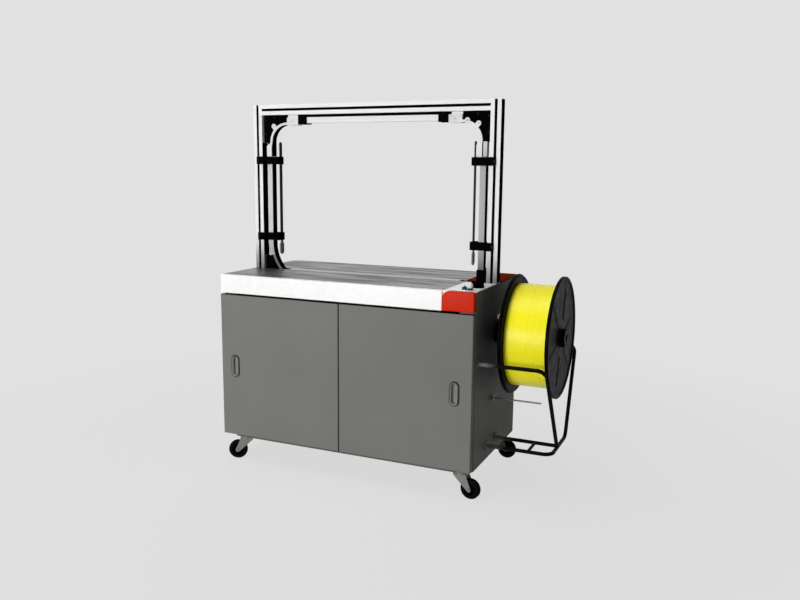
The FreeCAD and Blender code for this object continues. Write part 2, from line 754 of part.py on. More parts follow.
def front_band():
    """The white band along the front, and the red cap that ends it at the right."""
    split = half_width - size("cap_width")
    parts = (
        ("Band", "front_band", -half_width, split),
        ("Cap", "front_end_cap", split + size("seam_gap"), half_width),
    )
    for name, label, left, right in parts:
        body = new_body(name)
        face = new_sketch(body, name + "Face", "XZ_Plane", -panel_front)
        outline(face, corners_of((left, band_foot), (right, size("table_height"))))
        block = pad(body, face, half_depth + panel_front)
        outside = "min" if name == "Band" else "max"
        edges = ({"Y": "min", "Z": "max"}, {"X": outside, "Y": "min"})
        block = round_edges(body, block, size("band_bend"), *edges)
        hollow(body, block, size("panel_sheet"), {"Y": "max"})
        keep(body, label)


def table():
    """The front and rear table plates, the white control panel and the red corner cover."""
    left = -half_width
    cap_side = half_width - size("cap_width")
    cover_side = half_width - size("cover_width")
    slot_front = size("strap_setback") - size("slot_width") / 2
    slot_back = size("strap_setback") + size("slot_width") / 2
    front = panel_front + size("seam_gap")
    gap = size("seam_gap")
    top = size("table_height")
    plates = (
        ("TableFront", "table_front", (left, front), (cap_side, slot_front)),
        ("ControlPanel", "control_panel", (cap_side + gap, front), (half_width, arch_front - gap)),
        ("TableRear", "table_rear", (left, slot_back), (cover_side, half_depth)),
        ("CornerCover", "rear_corner_cover", (cover_side + gap, slot_back), (half_width, half_depth)),
    )
    for name, label, low, high in plates:
        body = new_body(name)
        plan = new_sketch(body, name + "Plan", "XY_Plane", side_top)
        outline(plan, corners_of(low, high))
        block = pad(body, plan, size("table_sheet"))
        if name in ("TableRear", "CornerCover"):
            outside = "min" if name == "TableRear" else "max"
            block = round_edges(body, block, size("rear_bend"), {"X": outside, "Y": "max"})
        if name == "TableFront":
            notch = new_sketch(body, name + "Notch", "XY_Plane", side_top)
            inner = -(upright_inner - gap)
            outline(notch, corners_of((left - 1, arch_front - gap), (inner, arch_back + gap)))
            pocket(body, notch)
        if name == "ControlPanel":
            holes = new_sketch(body, "ControlHoles", "XY_Plane", side_top)
            for place in (switch_place(), button_place(), dial_place()):
                ring(holes, place, size("switch_stem") + size("running_play"))
            pocket(body, holes)
        keep(body, label)


def switch_place():
    """Centre of the main switch on the control panel."""
    return (half_width - size("switch_inset"), -half_depth + size("switch_front"))


def button_place():
    """Centre of the reset button on the control panel."""
    return (half_width - size("button_inset"), -half_depth + size("button_front"))


def dial_place():
    """Centre of the tension dial on the control panel."""
    return (half_width - size("dial_inset"), -half_depth + size("dial_front"))


def controls():
    """The main switch, the reset button and the tension dial, each with its stem through the panel."""
    x, y = switch_place()
    top = size("table_height")
    stem = size("switch_stem")
    below = side_top - size("switch_height")
    collar = rod("SwitchKnob", "z", (x, y, top), size("switch_radius"), size("switch_height") * 0.55)
    grip = box(
        "SwitchGrip",
        (x - stem * 0.7, y - size("switch_radius"), top),
        (x + stem * 0.7, y + size("switch_radius"), top + size("switch_height")),
    )
    spindle = rod("SwitchStem", "z", (x, y, below), stem, top - below)
    keep(join("MainSwitch", [collar, grip, spindle]), "main_switch_knob")
    x, y = button_place()
    rise = top + size("button_travel")
    head = rod("ButtonHead", "z", (x, y, rise), size("button_radius"), size("button_height"))
    stalk = rod("ButtonStem", "z", (x, y, below), stem, rise - below)
    keep(join("ResetButton", [head, stalk]), "reset_button")
    x, y = dial_place()
    base = rod("DialBase", "z", (x, y, top), size("dial_radius"), size("dial_height") * 0.3)
    body = rod("DialBody", "z", (x, y, top), size("dial_radius") * 0.88, size("dial_height"))
    shaft = rod("DialStem", "z", (x, y, below), stem, top - below)
    keep(join("TensionDial", [base, body, shaft]), "tension_dial")


def table_rails():
    """Two rails under the table with the pads that the uprights stand on."""
    side = half_width - size("panel_sheet")
    pieces = []
    foot = rail_top - size("rail_height")
    for name, hand in (("Front", -1), ("Rear", 1)):
        middle = size("strap_setback") + hand * size("rail_spacing")
        low = (-side, middle - size("rail_depth") / 2, foot)
        high = (side, middle + size("rail_depth") / 2, rail_top)
        pieces.append(box("Rail" + name, low, high))
    reach = size("rail_spacing") + size("rail_depth") / 2
    for name, inner, outer in (("Left", -side, -track_outer), ("Right", track_outer, side)):
        low = (inner, size("strap_setback") - reach, rail_top)
        high = (outer, size("strap_setback") + reach, side_top)
        pieces.append(box("Pad" + name, low, high))
    front = door_back + size("post_setback")
    half = size("post_width") / 2
    pieces.append(box(
        "PostTie",
        (-half, front, foot),
        (half, size("strap_setback") - size("rail_spacing"), foot + size("foot_pad")),
    ))
    keep(join("TableRails", pieces), "table_rails")


def slide_plate():
    """The polished plate in the slot between the table plates, with the strap's mouth."""
    gap = size("seam_gap")
    reach = upright_inner - size("slide_inset")
    half = size("slot_width") / 2
    middle = size("strap_setback")
    plate = box(
        "SlideBar",
        (-reach, middle - half + gap, side_top - size("foot_pad")),
        (reach, middle + half - gap, size("table_height")),
    )
    mouth = box(
        "SlideMouth",
        (size("head_place") - size("head_width") / 4, middle - size("track_width") / 4, 0),
        (size("head_place") + size("head_width") / 4, middle + size("track_width") / 4, arch_top),
    )
    keep(carve("SlidePlate", plate, [mouth]), "slide_plate")


# ---------------------------------------------------------------- arch


def extrusion(name, length):
    """A T-slot aluminium profile, centred on its own Z axis."""
    body = new_body(name)
    half = size("profile_size") / 2
    plan = new_sketch(body, name + "Plan", "XY_Plane", 0)
    outline(plan, corners_of((-half, -half), (half, half)))
    pad(body, plan, length)
    slot = new_sketch(body, name + "Slot", "XY_Plane", 0)
    mouth = size("slot_mouth") / 2
    cavity = size("slot_cavity") / 2
    lip = half - size("slot_lip")
    shelf = lip - (cavity - mouth) / 2
    floor = half - size("slot_depth")
    outline(slot, [
        (mouth, half + 1), (mouth, lip), (cavity, lip), (cavity, shelf), (mouth, floor),
        (-mouth, floor), (-cavity, shelf), (-cavity, lip), (-mouth, lip), (-mouth, half + 1),
    ])
    cut = pocket(body, slot)
    turn = body.newObject("PartDesign::PolarPattern", name + "Slots")
    turn.Originals = [cut]
    turn.Axis = ([item for item in body.Origin.OriginFeatures if item.Role == "Z_Axis"][0], [""])
    turn.Angle = 360
    turn.Occurrences = 4
    body.Tip = turn
    doc.recompute()
    bore = new_sketch(body, name + "Bore", "XY_Plane", 0)
    ring(bore, (0, 0), size("profile_bore"))
    pocket(body, bore)
    return body


def arch_frame():
    """Two uprights and the beam between them."""
    centre = half_width - size("profile_size") / 2
    rise = arch_top - side_top
    for hand, label in ((-1, "left"), (1, "right")):
        body = extrusion("Upright" + label.title(), rise)
        keep(body, "upright_" + label, (hand * centre, size("arch_setback"), side_top))
    body = extrusion("ArchBeam", 2 * upright_inner)
    body.Placement = FreeCAD.Placement(Vector(), Rotation(Vector(0, 1, 0), 90))
    height = arch_top - size("profile_size") / 2
    keep(body, "arch_beam", (-upright_inner, size("arch_setback"), height))


def bend_centre(hand):
    """Middle of the upper bends, along X and Z."""
    reach = size("corner_radius") + size("track_depth")
    return hand * (track_outer - reach), corner_height()


def corner_height():
    """Height where the side tracks start to bend into the top track."""
    return beam_foot - size("track_drop") - size("corner_radius") - size("track_depth")


def gussets():
    """The corner plates between the uprights, the beam and the outer edge of the bends."""
    leg = size("gusset_leg")
    depth = size("gusset_thickness")
    front = strap_front + size("guide_thickness")
    reach = size("corner_radius") + size("track_depth") + size("guide_web")
    plates = []
    for hand, label in ((-1, "Left"), (1, "Right")):
        near = upright_inner - leg
        low_x, high_x = (near, upright_inner) if hand > 0 else (-upright_inner, -near)
        x, z = bend_centre(hand)
        foot = beam_foot - leg
        block = box("GussetBlock" + label, (low_x, front, foot), (high_x, front + depth, beam_foot))
        bite = rod("GussetBite" + label, "y", (x, front - 1, z), reach, depth + 2)
        inside = x + hand * reach
        low_x, high_x = (near - 1, inside) if hand > 0 else (inside, -near + 1)
        lower = box("GussetLower" + label, (low_x, front - 1, foot - 1), (high_x, front + depth + 1, z))
        plates.append(carve("Gusset" + label, block, [bite, lower]))
    keep(group("Gussets", plates), "corner_gussets")


def channel_outline(sketch, outer, hand):
    """The strap track's C section, open towards the arch's middle."""
    front = strap_front + size("cover_thickness")
    back = front + size("track_width")
    wall = size("track_wall")
    inner = outer - hand * size("track_depth")
    outline(sketch, [
        (outer, front), (outer, back), (inner, back), (inner, back - wall),
        (outer - hand * wall, back - wall), (outer - hand * wall, front + wall),
        (inner, front + wall), (inner, front),
    ])
    return sketch


def cover_outline(sketch, outer, hand):
    """The section of the light strip on a track's front."""
    inner = outer - hand * size("track_depth")
    low = (outer, strap_front)
    high = (inner, strap_front + size("cover_thickness"))
    outline(sketch, corners_of(low, high))
    return sketch


def track_run(name, hand, section):
    """One section up the arch's side. The left one also bends round into the table."""
    body = new_body(name)
    outer = hand * track_outer
    start = size("table_height") + size("inlet_start")
    if hand > 0:
        start = side_top + size("seam_gap")
    end = corner_height() - size("guide_tail") - size("seam_gap")
    straight = section(new_sketch(body, name + "Run", "XY_Plane", start), outer, hand)
    pad(body, straight, end - start)
    if hand > 0:
        return body
    bend = section(new_sketch(body, name + "Bend", "XY_Plane", start), outer, hand)
    centre = hand * (track_outer - size("inlet_radius") - size("track_depth"))
    axis = axis_line(bend, (centre, 0), (centre, size("cabinet_depth")))
    turned(body, bend, axis, size("inlet_angle"), hand < 0)
    return body


def side_tracks():
    """The black side channels and the light covers on their front."""
    covers = []
    for hand, label in ((-1, "left"), (1, "right")):
        keep(track_run("SideTrack" + label.title(), hand, channel_outline), "side_track_" + label)
        covers.append(track_run("TrackCover" + label.title(), hand, cover_outline))
    keep(group("TrackCovers", covers), "track_covers")


def top_track():
    """The light channel under the beam, open downwards."""
    reach = upright_inner - size("track_gap") - size("track_depth") - size("corner_radius")
    reach = reach - size("guide_block") - size("seam_gap")
    back = strap_front + size("cover_thickness") + size("track_width")
    wall = size("track_wall")
    head = beam_foot - size("track_drop")
    foot = head - size("track_depth")
    outer = box("TopTrackOuter", (-reach, strap_front, foot), (reach, back, head))
    room_low = (-reach - 1, strap_front + wall, foot - 1)
    room_high = (reach + 1, back - wall, head - wall)
    keep(carve("TopTrack", outer, [box("TopTrackRoom", room_low, room_high)]), "top_track")


def corner_guide(hand, label):
    """The nylon bend from a side track into the top track, with its tail, block and two ears."""
    body = new_body("CornerGuide" + label.title())
    front = strap_front
    back = strap_front + size("cover_thickness") + size("track_width")
    wall = size("track_wall")
    outer = hand * track_outer
    inner = outer - hand * size("track_depth")
    centre, level = bend_centre(hand)
    section = [
        (outer, front), (outer, back), (inner, back), (inner, back - wall),
        (outer - hand * wall, back - wall), (outer - hand * wall, front + wall),
        (inner, front + wall), (inner, front),
    ]
    tail = outline(new_sketch(body, "GuideTail" + label, "XY_Plane", level - size("guide_tail")), section)
    pad(body, tail, size("guide_tail"))
    bend = outline(new_sketch(body, "GuideBend" + label, "XY_Plane", level), section)
    turned(body, bend, axis_line(bend, (centre, 0), (centre, size("cabinet_depth"))), 90, hand > 0)
    head = beam_foot - size("track_drop")
    foot = head - size("track_depth")
    block = new_sketch(body, "GuideBlock" + label, "YZ_Plane", centre)
    outline(block, [
        (front, head), (back, head), (back, foot), (back - wall, foot), (back - wall, head - wall),
        (front + wall, head - wall), (front + wall, foot), (front, foot),
    ])
    pad(body, block, size("guide_block"), reverse=hand > 0)
    ears = new_sketch(body, "GuideEars" + label, "XZ_Plane", -front)
    holes = new_sketch(body, "GuideHoles" + label, "XZ_Plane", -front)
    reach = size("corner_radius") + size("track_depth") - size("ear_reach")
    for turn in (47, 76):
        x = centre + hand * reach * math.cos(math.radians(turn))
        z = level + reach * math.sin(math.radians(turn))
        ring(ears, (x, z), size("ear_radius"))
        ring(holes, (x, z), size("ear_bore"))
    pad(body, ears, size("guide_thickness"), reverse=True)
    pocket(body, holes, size("guide_thickness"))
    keep(body, "corner_guide_" + label)


def hangers():
    """The black bar between beam and top track, and the two black straps round the track."""
    back = strap_front + size("cover_thickness") + size("track_width")
    head = beam_foot - size("track_drop")
    foot = head - size("track_depth")
    wall = size("hanger_wall")
    gap = size("running_play")
    end = size("hanger_place") - size("hanger_length") / 2 - gap
    bar = box("SpacerBar", (-end, strap_front + wall, head), (end, back - wall, beam_foot))
    straps = [bar]
    for hand, label in ((-1, "Left"), (1, "Right")):
        centre = hand * size("hanger_place")
        reach = size("hanger_length") / 2
        low = (centre - reach, strap_front - wall, foot - wall)
        outer = box("HangerOuter" + label, low, (centre + reach, back + wall, beam_foot))
        room_low = (centre - reach - 1, strap_front - gap, foot - gap)
        room = box("HangerRoom" + label, room_low, (centre + reach + 1, back + gap, head + gap))
        mouth_low = (centre - reach - 1, strap_front + size("track_wall"), foot - wall - 1)
        mouth_high = (centre + reach + 1, back - size("track_wall"), foot)
        mouth = box("HangerMouth" + label, mouth_low, mouth_high)
        straps.append(carve("Hanger" + label, outer, [room, mouth]))
    keep(group("Hangers", straps), "track_hangers")


def inner_rail_place():
    """Distance of the inner rails' outer faces from the middle."""
    return track_inner - size("inner_rail_gap")


def rail_line():
    """Middle of the inner rails along Y."""
    return size("strap_setback") + size("inner_rail_depth") / 2


def inner_rails():
    """Flat bars inside the side tracks, each with a wider tongue at its lower end."""
    bars = []
    foot = size("table_height") + size("inner_rail_foot")
    spans = (
        ("Bar", size("inner_rail_depth") / 2, corner_height()),
        ("Tongue", size("tongue_depth") / 2, foot + size("tongue_height")),
    )
    for hand, label in ((-1, "Left"), (1, "Right")):
        body = new_body("InnerRail" + label)
        edge = hand * inner_rail_place()
        for name, half, head in spans:
            face = new_sketch(body, name + label, "YZ_Plane", edge)
            cut = half * 0.6
            outline(face, [
                (rail_line() - half, foot + cut), (rail_line() - half + cut, foot),
                (rail_line() + half - cut, foot), (rail_line() + half, foot + cut),
                (rail_line() + half, head - cut), (rail_line() + half - cut, head),
                (rail_line() - half + cut, head), (rail_line() - half, head - cut),
            ])
            pad(body, face, size("inner_rail_width"), reverse=hand > 0)
        bars.append(body)
    keep(group("InnerRails", bars), "inner_rails")


def clamps():
    """Black clamps that tie each side track and inner rail to the upright, and the foot blocks."""
    wall = size("clamp_wall")
    gap = size("running_play")
    back = strap_front + size("cover_thickness") + size("track_width")
    seat_start = upright_inner - size("track_gap") / 2
    seat_end = seat_start + size("clamp_seat")
    inner = inner_rail_place() - size("inner_rail_width")
    half_bar = size("inner_rail_depth") / 2
    pieces = []
    for hand, side in ((-1, "Left"), (1, "Right")):
        lower = size("table_height") + size("clamp_low") + size("clamp_height") / 2
        upper = corner_height() - size("guide_tail") - size("seam_gap")
        for label, head in (("Lower", lower), ("Upper", upper)):
            foot = head - size("clamp_height")
            spans = (
                ("Arm", inner - size("clamp_end"), upright_inner, strap_front - wall, back + wall, 0),
                ("Seat", seat_start, seat_end, arch_front - wall, arch_front, 0),
                ("Web", seat_start, upright_inner, arch_front - wall, strap_front, 0),
                ("Track", track_inner - gap, track_outer + gap, strap_front - gap, back + gap, 1),
                ("Rail", inner - gap, inner_rail_place() + gap, rail_line() - half_bar - gap,
                 rail_line() + half_bar + gap, 1),
            )
            blocks = []
            for name, near, far, front, rear, over in spans:
                low_x, high_x = (near, far) if hand > 0 else (-far, -near)
                low = (low_x, front, foot - over)
                blocks.append(box("Clamp" + name + side + label, low, (high_x, rear, head + over)))
            solid = join("ClampSolid" + side + label, blocks[:3])
            pieces.append(carve("Clamp" + side + label, solid, blocks[3:]))
        pieces.append(foot_block(hand, side))
    keep(group("TrackClamps", pieces), "track_clamps")


def foot_block(hand, side):
    """The block that fills the corner between an upright's foot and the lower bend."""
    gap = size("seam_gap")
    reach = size("inlet_radius") + size("track_depth") + gap
    centre = hand * (track_outer - size("inlet_radius") - size("track_depth"))
    front = strap_front + size("cover_thickness")
    back = arch_back - gap
    near = track_inner
    low_x, high_x = (near, upright_inner) if hand > 0 else (-upright_inner, -near)
    head = size("table_height") + size("foot_rise")
    block = box("FootBlock" + side, (low_x, front, side_top), (high_x, back, head))
    level = size("table_height") + size("inlet_start")
    bite = rod("FootBite" + side, "y", (centre, front - 1, level), reach, size("cabinet_depth"))
    if hand > 0:
        track_back = strap_front + size("cover_thickness") + size("track_width") + gap
        low = (near - 1, front - 1, side_top - 1)
        bite = box("FootBite" + side, low, (track_outer + gap, track_back, head + 1))
    return carve("Foot" + side, block, [bite])


# ---------------------------------------------------------------- strap dispenser


def revolve_profile(name, points, label, height):
    """A piece turned about an axis along X at the given height."""
    body = new_body(name)
    section = new_sketch(body, name + "Section", "XZ_Plane", 0)
    outline(section, [(x, height + radius) for x, radius in points])
    axis = axis_line(section, (0, height), (half_width, height))
    turned(body, section, axis)
    keep(body, label)
    return body


def reel_bracket():
    """The round plate, neck and fixed shaft that carry the reel."""
    plate = half_width + size("bracket_plate")
    neck = flange_inside - size("bracket_plate")
    end = reel_end + size("boss_thickness") + size("knob_thickness") * 0.6
    shaft = size("shaft_radius")
    revolve_profile("ReelBracket", [
        (half_width, term(0)), (half_width, size("bracket_radius")), (plate, size("bracket_radius")),
        (plate + size("bracket_plate"), size("bracket_neck")), (neck, size("bracket_neck")),
        (neck, shaft), (end, shaft), (end, term(0)),
    ], "reel_bracket", size("reel_height"))


def reel():
    """The turning reel: two flanges, the drum, the strap coil and the lock knob."""
    bore = size("shaft_radius") + size("running_play")
    hub = bore + size("hub_wall")
    thick = size("flange_thickness")
    rim = size("flange_radius")
    bead = size("flange_rim")
    wall = size("core_wall")
    core = size("core_radius")
    hub_start = flange_inside - size("bracket_plate") + size("running_play")
    hub_end = reel_end + size("boss_thickness") + size("knob_thickness")
    height = size("reel_height")
    revolve_profile("InnerFlange", [
        (hub_start, bore), (hub_start, hub), (flange_inside, hub), (flange_inside, rim - 2 * bead),
        (flange_inside - bead, rim - bead), (flange_inside - bead, rim), (coil_start, rim),
        (coil_start, core), (coil_end, core), (coil_end, core - wall), (coil_start, core - wall),
        (coil_start, hub), (hub_end, hub), (hub_end, bore),
    ], "inner_flange", height)
    outer_bore = hub + size("running_play")
    boss = reel_end + size("boss_thickness")
    revolve_profile("OuterFlange", [
        (coil_end, outer_bore), (coil_end, rim), (reel_end + bead, rim), (reel_end + bead, rim - bead),
        (reel_end, rim - 2 * bead), (reel_end, size("boss_radius")),
        (boss, size("boss_radius") - size("boss_thickness")), (boss, outer_bore),
    ], "outer_flange", height)
    play = size("coil_play")
    revolve_profile("StrapCoil", [
        (coil_start + play, core + play), (coil_start + play, size("coil_radius")),
        (coil_end - play, size("coil_radius")), (coil_end - play, core + play),
    ], "strap_coil", height)
    disc = rod("KnobDisc", "x", (boss, 0, height), size("knob_radius"), size("knob_thickness"))
    cuts = [rod("KnobBore", "x", (boss - 1, 0, height), outer_bore, size("knob_thickness") + 2)]
    long = size("knob_thickness") + 2
    for number in range(5):
        turn = math.radians(72 * number)
        y = size("knob_radius") * math.cos(turn) * 1.08
        z = height + size("knob_radius") * math.sin(turn) * 1.08
        cuts.append(rod(f"KnobHollow{number}", "x", (boss - 1, y, z), size("knob_lobe"), long))
    keep(carve("LockKnob", disc, cuts), "lock_knob")


def bent_tube(points, radius, bend):
    """A round bar along straight runs joined by bends of one radius."""
    edges = []
    start = points[0]
    for before, corner, after in zip(points, points[1:], points[2:]):
        into = (corner - before).normalize()
        out = (after - corner).normalize()
        turn = into.getAngle(out)
        reach = bend * math.tan(turn / 2)
        enter = corner - into * reach
        leave = corner + out * reach
        inward = (out - into).normalize()
        middle = corner + inward * (bend / math.cos(turn / 2) - bend)
        edges.append(Part.LineSegment(start, enter).toShape())
        edges.append(Part.Arc(enter, middle, leave).toShape())
        start = leave
    edges.append(Part.LineSegment(start, points[-1]).toShape())
    path = Part.Wire(edges)
    heading = (points[1] - points[0]).normalize()
    profile = Part.Wire(Part.makeCircle(radius, points[0], heading))
    return path.makePipeShell([profile], True, False)


def guard():
    """The bent tube guard round the reel, with screw-on feet at the side panel."""
    side = half_width.number
    line = guard_line.number
    axis_y = 0.0
    arms = NUMBERS["reel_height"] - NUMBERS["guard_arm_drop"]
    foot = NUMBERS["guard_foot_height"]
    radius = NUMBERS["guard_radius"]
    bend = NUMBERS["guard_bend"]
    front_arm = axis_y - NUMBERS["guard_arm_front"]
    rear_arm = axis_y + NUMBERS["guard_arm_rear"]
    near = axis_y - NUMBERS["guard_near_bar"]
    far = axis_y + NUMBERS["guard_far_bar"]
    front_foot = axis_y - NUMBERS["guard_front_foot"]
    rear_foot = axis_y + NUMBERS["guard_rear_foot"]
    plate = NUMBERS["guard_foot_thickness"]

    def foot_plate(y, z):
        return Part.makeCylinder(NUMBERS["guard_foot_radius"], plate, Vector(side, y, z), Vector(1, 0, 0))

    rear = bent_tube([
        Vector(side + plate / 2, rear_arm, arms), Vector(line, rear_arm, arms), Vector(line, rear_foot, foot),
        Vector(line, near, foot), Vector(side + plate / 2, near, foot),
    ], radius, bend)
    front = bent_tube([
        Vector(side + plate / 2, front_arm, arms), Vector(line, front_arm, arms),
        Vector(line, front_foot, foot + radius / 2),
    ], radius, bend)
    low_radius = radius - NUMBERS["running_play"]
    low_start = Vector(side + plate / 2, far, foot)
    low = Part.makeCylinder(low_radius, line - side - plate / 2, low_start, Vector(1, 0, 0))
    cross_x = side + NUMBERS["guard_cross_place"]
    cross = Part.makeCylinder(radius * 0.8, far - near, Vector(cross_x, near, foot), Vector(0, 1, 0))
    rear = rear.fuse([foot_plate(rear_arm, arms), foot_plate(near, foot)]).removeSplitter()
    front = front.fuse([foot_plate(front_arm, arms)]).cut(rear).removeSplitter()
    low = low.fuse([cross, foot_plate(far, foot)]).cut(rear).cut(front).removeSplitter()
    for name, label, shape in (
        ("GuardRear", "guard_rear_tube", rear),
        ("GuardFront", "guard_front_tube", front),
        ("GuardLow", "guard_low_bar", low),
    ):
        feature = doc.addObject("Part::Feature", name)
        feature.Shape = max(shape.Solids, key=lambda solid: solid.Volume)
        keep(feature, label)


def guide_rod():
    """The thin rod below the reel, screwed into the side panel with a nut."""
    x = half_width
    y = -size("rod_front")
    z = size("reel_height") - size("coil_radius") - size("rod_drop")
    bar = rod("RodBar", "x", (x, y, z), size("rod_radius"), size("rod_length"))
    nut = rod("RodNut", "x", (x, y, z), size("rod_seat"), size("rod_nut"))
    keep(join("GuideRod", [bar, nut]), "strap_guide_rod")


def strap_inlet():
    """The cream bush through the side panel, where the strap enters."""
    x = half_width
    z = inlet_level
    inside = x - size("panel_sheet") * 4
    body = rod("InletBody", "x", (inside, 0, z), size("inlet_body"), x - inside)
    head = rod("InletHead", "x", (x, 0, z), size("inlet_flange"), size("inlet_proud"))
    reach = size("inlet_body") - size("panel_sheet")
    slot = box(
        "InletSlot",
        (inside - 1, -reach, z - size("inlet_slot") / 2),
        (x + size("inlet_proud") + 1, reach, z + size("inlet_slot") / 2),
    )
    keep(carve("StrapInlet", join("InletSolid", [body, head]), [slot]), "strap_inlet")


# ---------------------------------------------------------------- casters


def caster_fork(corner, x, y, turn):
    """A pressed fork with its bearing cup, stem and axle, built about its own stem."""
    name = "Fork" + corner.title().replace("_", "")
    body = new_body(name)
    half = size("wheel_width") / 2 + size("fork_play")
    trail = size("caster_trail")
    axle = size("wheel_radius")
    crown = size("floor_clearance") - size("cup_height")
    under = crown - size("fork_sheet")
    side = new_sketch(body, name + "Side", "XZ_Plane", 0)
    eye = size("axle_radius") * 2.2
    cup = size("cup_radius")
    outline(side, [
        (-cup, crown), (-cup, under - size("fork_sheet")), (trail - eye, axle - eye / 2),
        (trail - eye / 2, axle - eye), (trail + eye / 2, axle - eye), (trail + eye, axle),
        (cup, under - size("fork_sheet")), (cup, crown),
    ])
    pad(body, side, 2 * half + 2 * size("fork_sheet"), middle=True)
    room = new_sketch(body, name + "Room", "YZ_Plane", 0)
    outline(room, corners_of((-half, -size("wheel_radius")), (half, under)))
    pocket(body, room)
    cap = new_sketch(body, name + "Cup", "XY_Plane", crown)
    ring(cap, (0, 0), cup)
    pad(body, cap, size("cup_height"))
    stem = new_sketch(body, name + "Stem", "XY_Plane", size("floor_clearance"))
    ring(stem, (0, 0), size("stem_radius"))
    pad(body, stem, size("stem_length"))
    pin = new_sketch(body, name + "Axle", "XZ_Plane", 0)
    ring(pin, (trail, axle), size("axle_radius"))
    pad(body, pin, 2 * half + 4 * size("fork_sheet"), middle=True)
    body.Placement = FreeCAD.Placement(Vector(), Rotation(Vector(0, 0, 1), turn))
    keep(body, f"caster_fork_{corner}", (x, y, 0))


def caster_wheel(corner, x, y, turn):
    """A rubber wheel with a recessed disc, turned about its axle."""
    name = "Wheel" + corner.title().replace("_", "")
    body = new_body(name)
    section = new_sketch(body, name + "Section", "XY_Plane", 0)
    half = size("wheel_width") / 2
    bore = size("axle_radius") + size("running_play")
    rim = size("wheel_radius")
    round_off = size("wheel_shoulder")
    face = size("wheel_face")
    hub = bore * 2.4
    deep = half - size("wheel_recess")
    outline(section, [
        (bore, -half), (hub, -half), (hub + 2, -deep), (face - 2, -deep), (face, -half),
        (rim - round_off, -half), (rim - round_off * 0.3, -half + round_off * 0.3),
        (rim, -half + round_off), (rim, half - round_off),
        (rim - round_off * 0.3, half - round_off * 0.3), (rim - round_off, half),
        (face, half), (face - 2, deep), (hub + 2, deep), (hub, half), (bore, half),
    ])
    turned(body, section, axis_line(section, (0, 0), (0, rim)))
    angle = math.radians(turn)
    body.Placement = FreeCAD.Placement(Vector(), Rotation(Vector(0, 0, 1), turn))
    trail = size("caster_trail")
    place = (x + trail * math.cos(angle), y + trail * math.sin(angle), rim)
    keep(body, f"caster_wheel_{corner}", place)


# Way each caster trails at rest, in degrees about Z from +X.
CASTER_TURNS = {"front_left": 203, "front_right": -8, "rear_left": 188, "rear_right": -4}

# ---------------------------------------------------------------- inside the cabinet


def sealing_head():
    """The sealing head under the slide plate: a block between the rails with its cam case."""
    middle = size("strap_setback")
    half = size("head_depth") / 2
    left = size("head_place") - size("head_width") / 2
    right = size("head_place") + size("head_width") / 2
    top = side_top - size("foot_pad")
    foot = top - size("head_height")
    upper = box("HeadBlock", (left, middle - half, foot), (right, middle + half, top))
    wing_half = size("rail_spacing") + size("rail_depth") / 4
    wing_top = rail_top - size("rail_height")
    wing = box(
        "HeadWing",
        (left, middle - wing_half, wing_top - size("foot_pad")),
        (right, middle + wing_half, wing_top),
    )
    cam_case = rod(
        "CamCase", "x",
        (left - size("cam_reach"), middle, foot + size("head_height") * 0.3), size("head_depth") * 0.36,
        size("head_width") + 2 * size("cam_reach"),
    )
    keep(join("SealingHead", [upper, wing, cam_case]), "sealing_head")


def gear_motor():
    """The motor and gearbox on the left end of the sealing head's cam shaft."""
    middle = size("strap_setback")
    face = size("head_place") - size("head_width") / 2 - size("cam_reach")
    top = side_top - size("foot_pad")
    height = top - size("head_height") * 0.7
    half = size("gearbox_size") / 2
    case = box(
        "Gearbox",
        (face - size("gearbox_size"), middle - half, height - half),
        (face, middle + half, height + half / 2),
    )
    start = face - size("gearbox_size") - size("motor_length")
    line = height - size("motor_radius") / 4
    fan_start = start - size("fan_length")
    drum = rod("MotorDrum", "x", (start, middle, line), size("motor_radius"), size("motor_length"))
    fan = rod("MotorFan", "x", (fan_start, middle, line), size("motor_radius") * 0.92, size("fan_length"))
    keep(join("GearMotor", [case, drum, fan]), "gear_motor")


def feed_unit():
    """The feed plate under the rear rail with its drive roller and pinch roller."""
    y = size("strap_setback") + size("rail_spacing")
    left = size("head_place") + size("head_width") / 2 + size("feed_gap")
    right = left + size("feed_width")
    head = rail_top - size("rail_height")
    plate = box("FeedPlate", (left, y, head - size("feed_drop")), (right, y + size("feed_plate"), head))
    x = left + size("feed_width") / 2
    z = head - size("feed_drop") / 2
    pins = []
    rollers = (
        ("FeedRoller", "feed_roller", z, size("feed_roller_radius")),
        ("PinchRoller", "pinch_roller", z + size("feed_roller_radius") + size("pinch_roller_radius") + 1,
         size("pinch_roller_radius")),
    )
    width = size("roller_width")
    for name, label, level, radius in rollers:
        pins.append(rod(name + "Pin", "y", (x, y - width - 4, level), size("roller_pin"), width + 5))
        disc = rod(name + "Disc", "y", (x, y - width - 1, level), radius, width)
        bore = size("roller_pin") + size("running_play")
        keep(carve(name, disc, [rod(name + "Bore", "y", (x, y - width - 2, level), bore, width + 2)]), label)
    keep(join("FeedUnit", [plate] + pins), "feed_unit")


def magazine():
    """The open-topped sheet box that stores the slack strap, standing on the tray."""
    left = size("head_place") - size("magazine_width") / 2
    right = left + size("magazine_width")
    half = size("magazine_depth") / 2
    middle = size("strap_setback")
    foot = tray_floor
    sheet_wall = size("magazine_sheet")
    rib_room = size("tray_depth") - size("tray_wall")
    floor = foot + rib_room
    head = floor + size("magazine_height")
    outer = box("MagazineOuter", (left, middle - half, floor), (right, middle + half, head))
    room = box(
        "MagazineRoom",
        (left + sheet_wall, middle - half + sheet_wall, floor + sheet_wall),
        (right - sheet_wall, middle + half - sheet_wall, arch_top),
    )
    legs = []
    for number, x in enumerate((left, right - size("magazine_depth"))):
        leg_end = x + size("magazine_depth")
        legs.append(box(f"MagazineLeg{number}", (x, middle - half, foot), (leg_end, middle + half, floor)))
    shell = carve("MagazineShell", outer, [room])
    keep(join("Magazine", [shell] + legs), "strap_magazine")


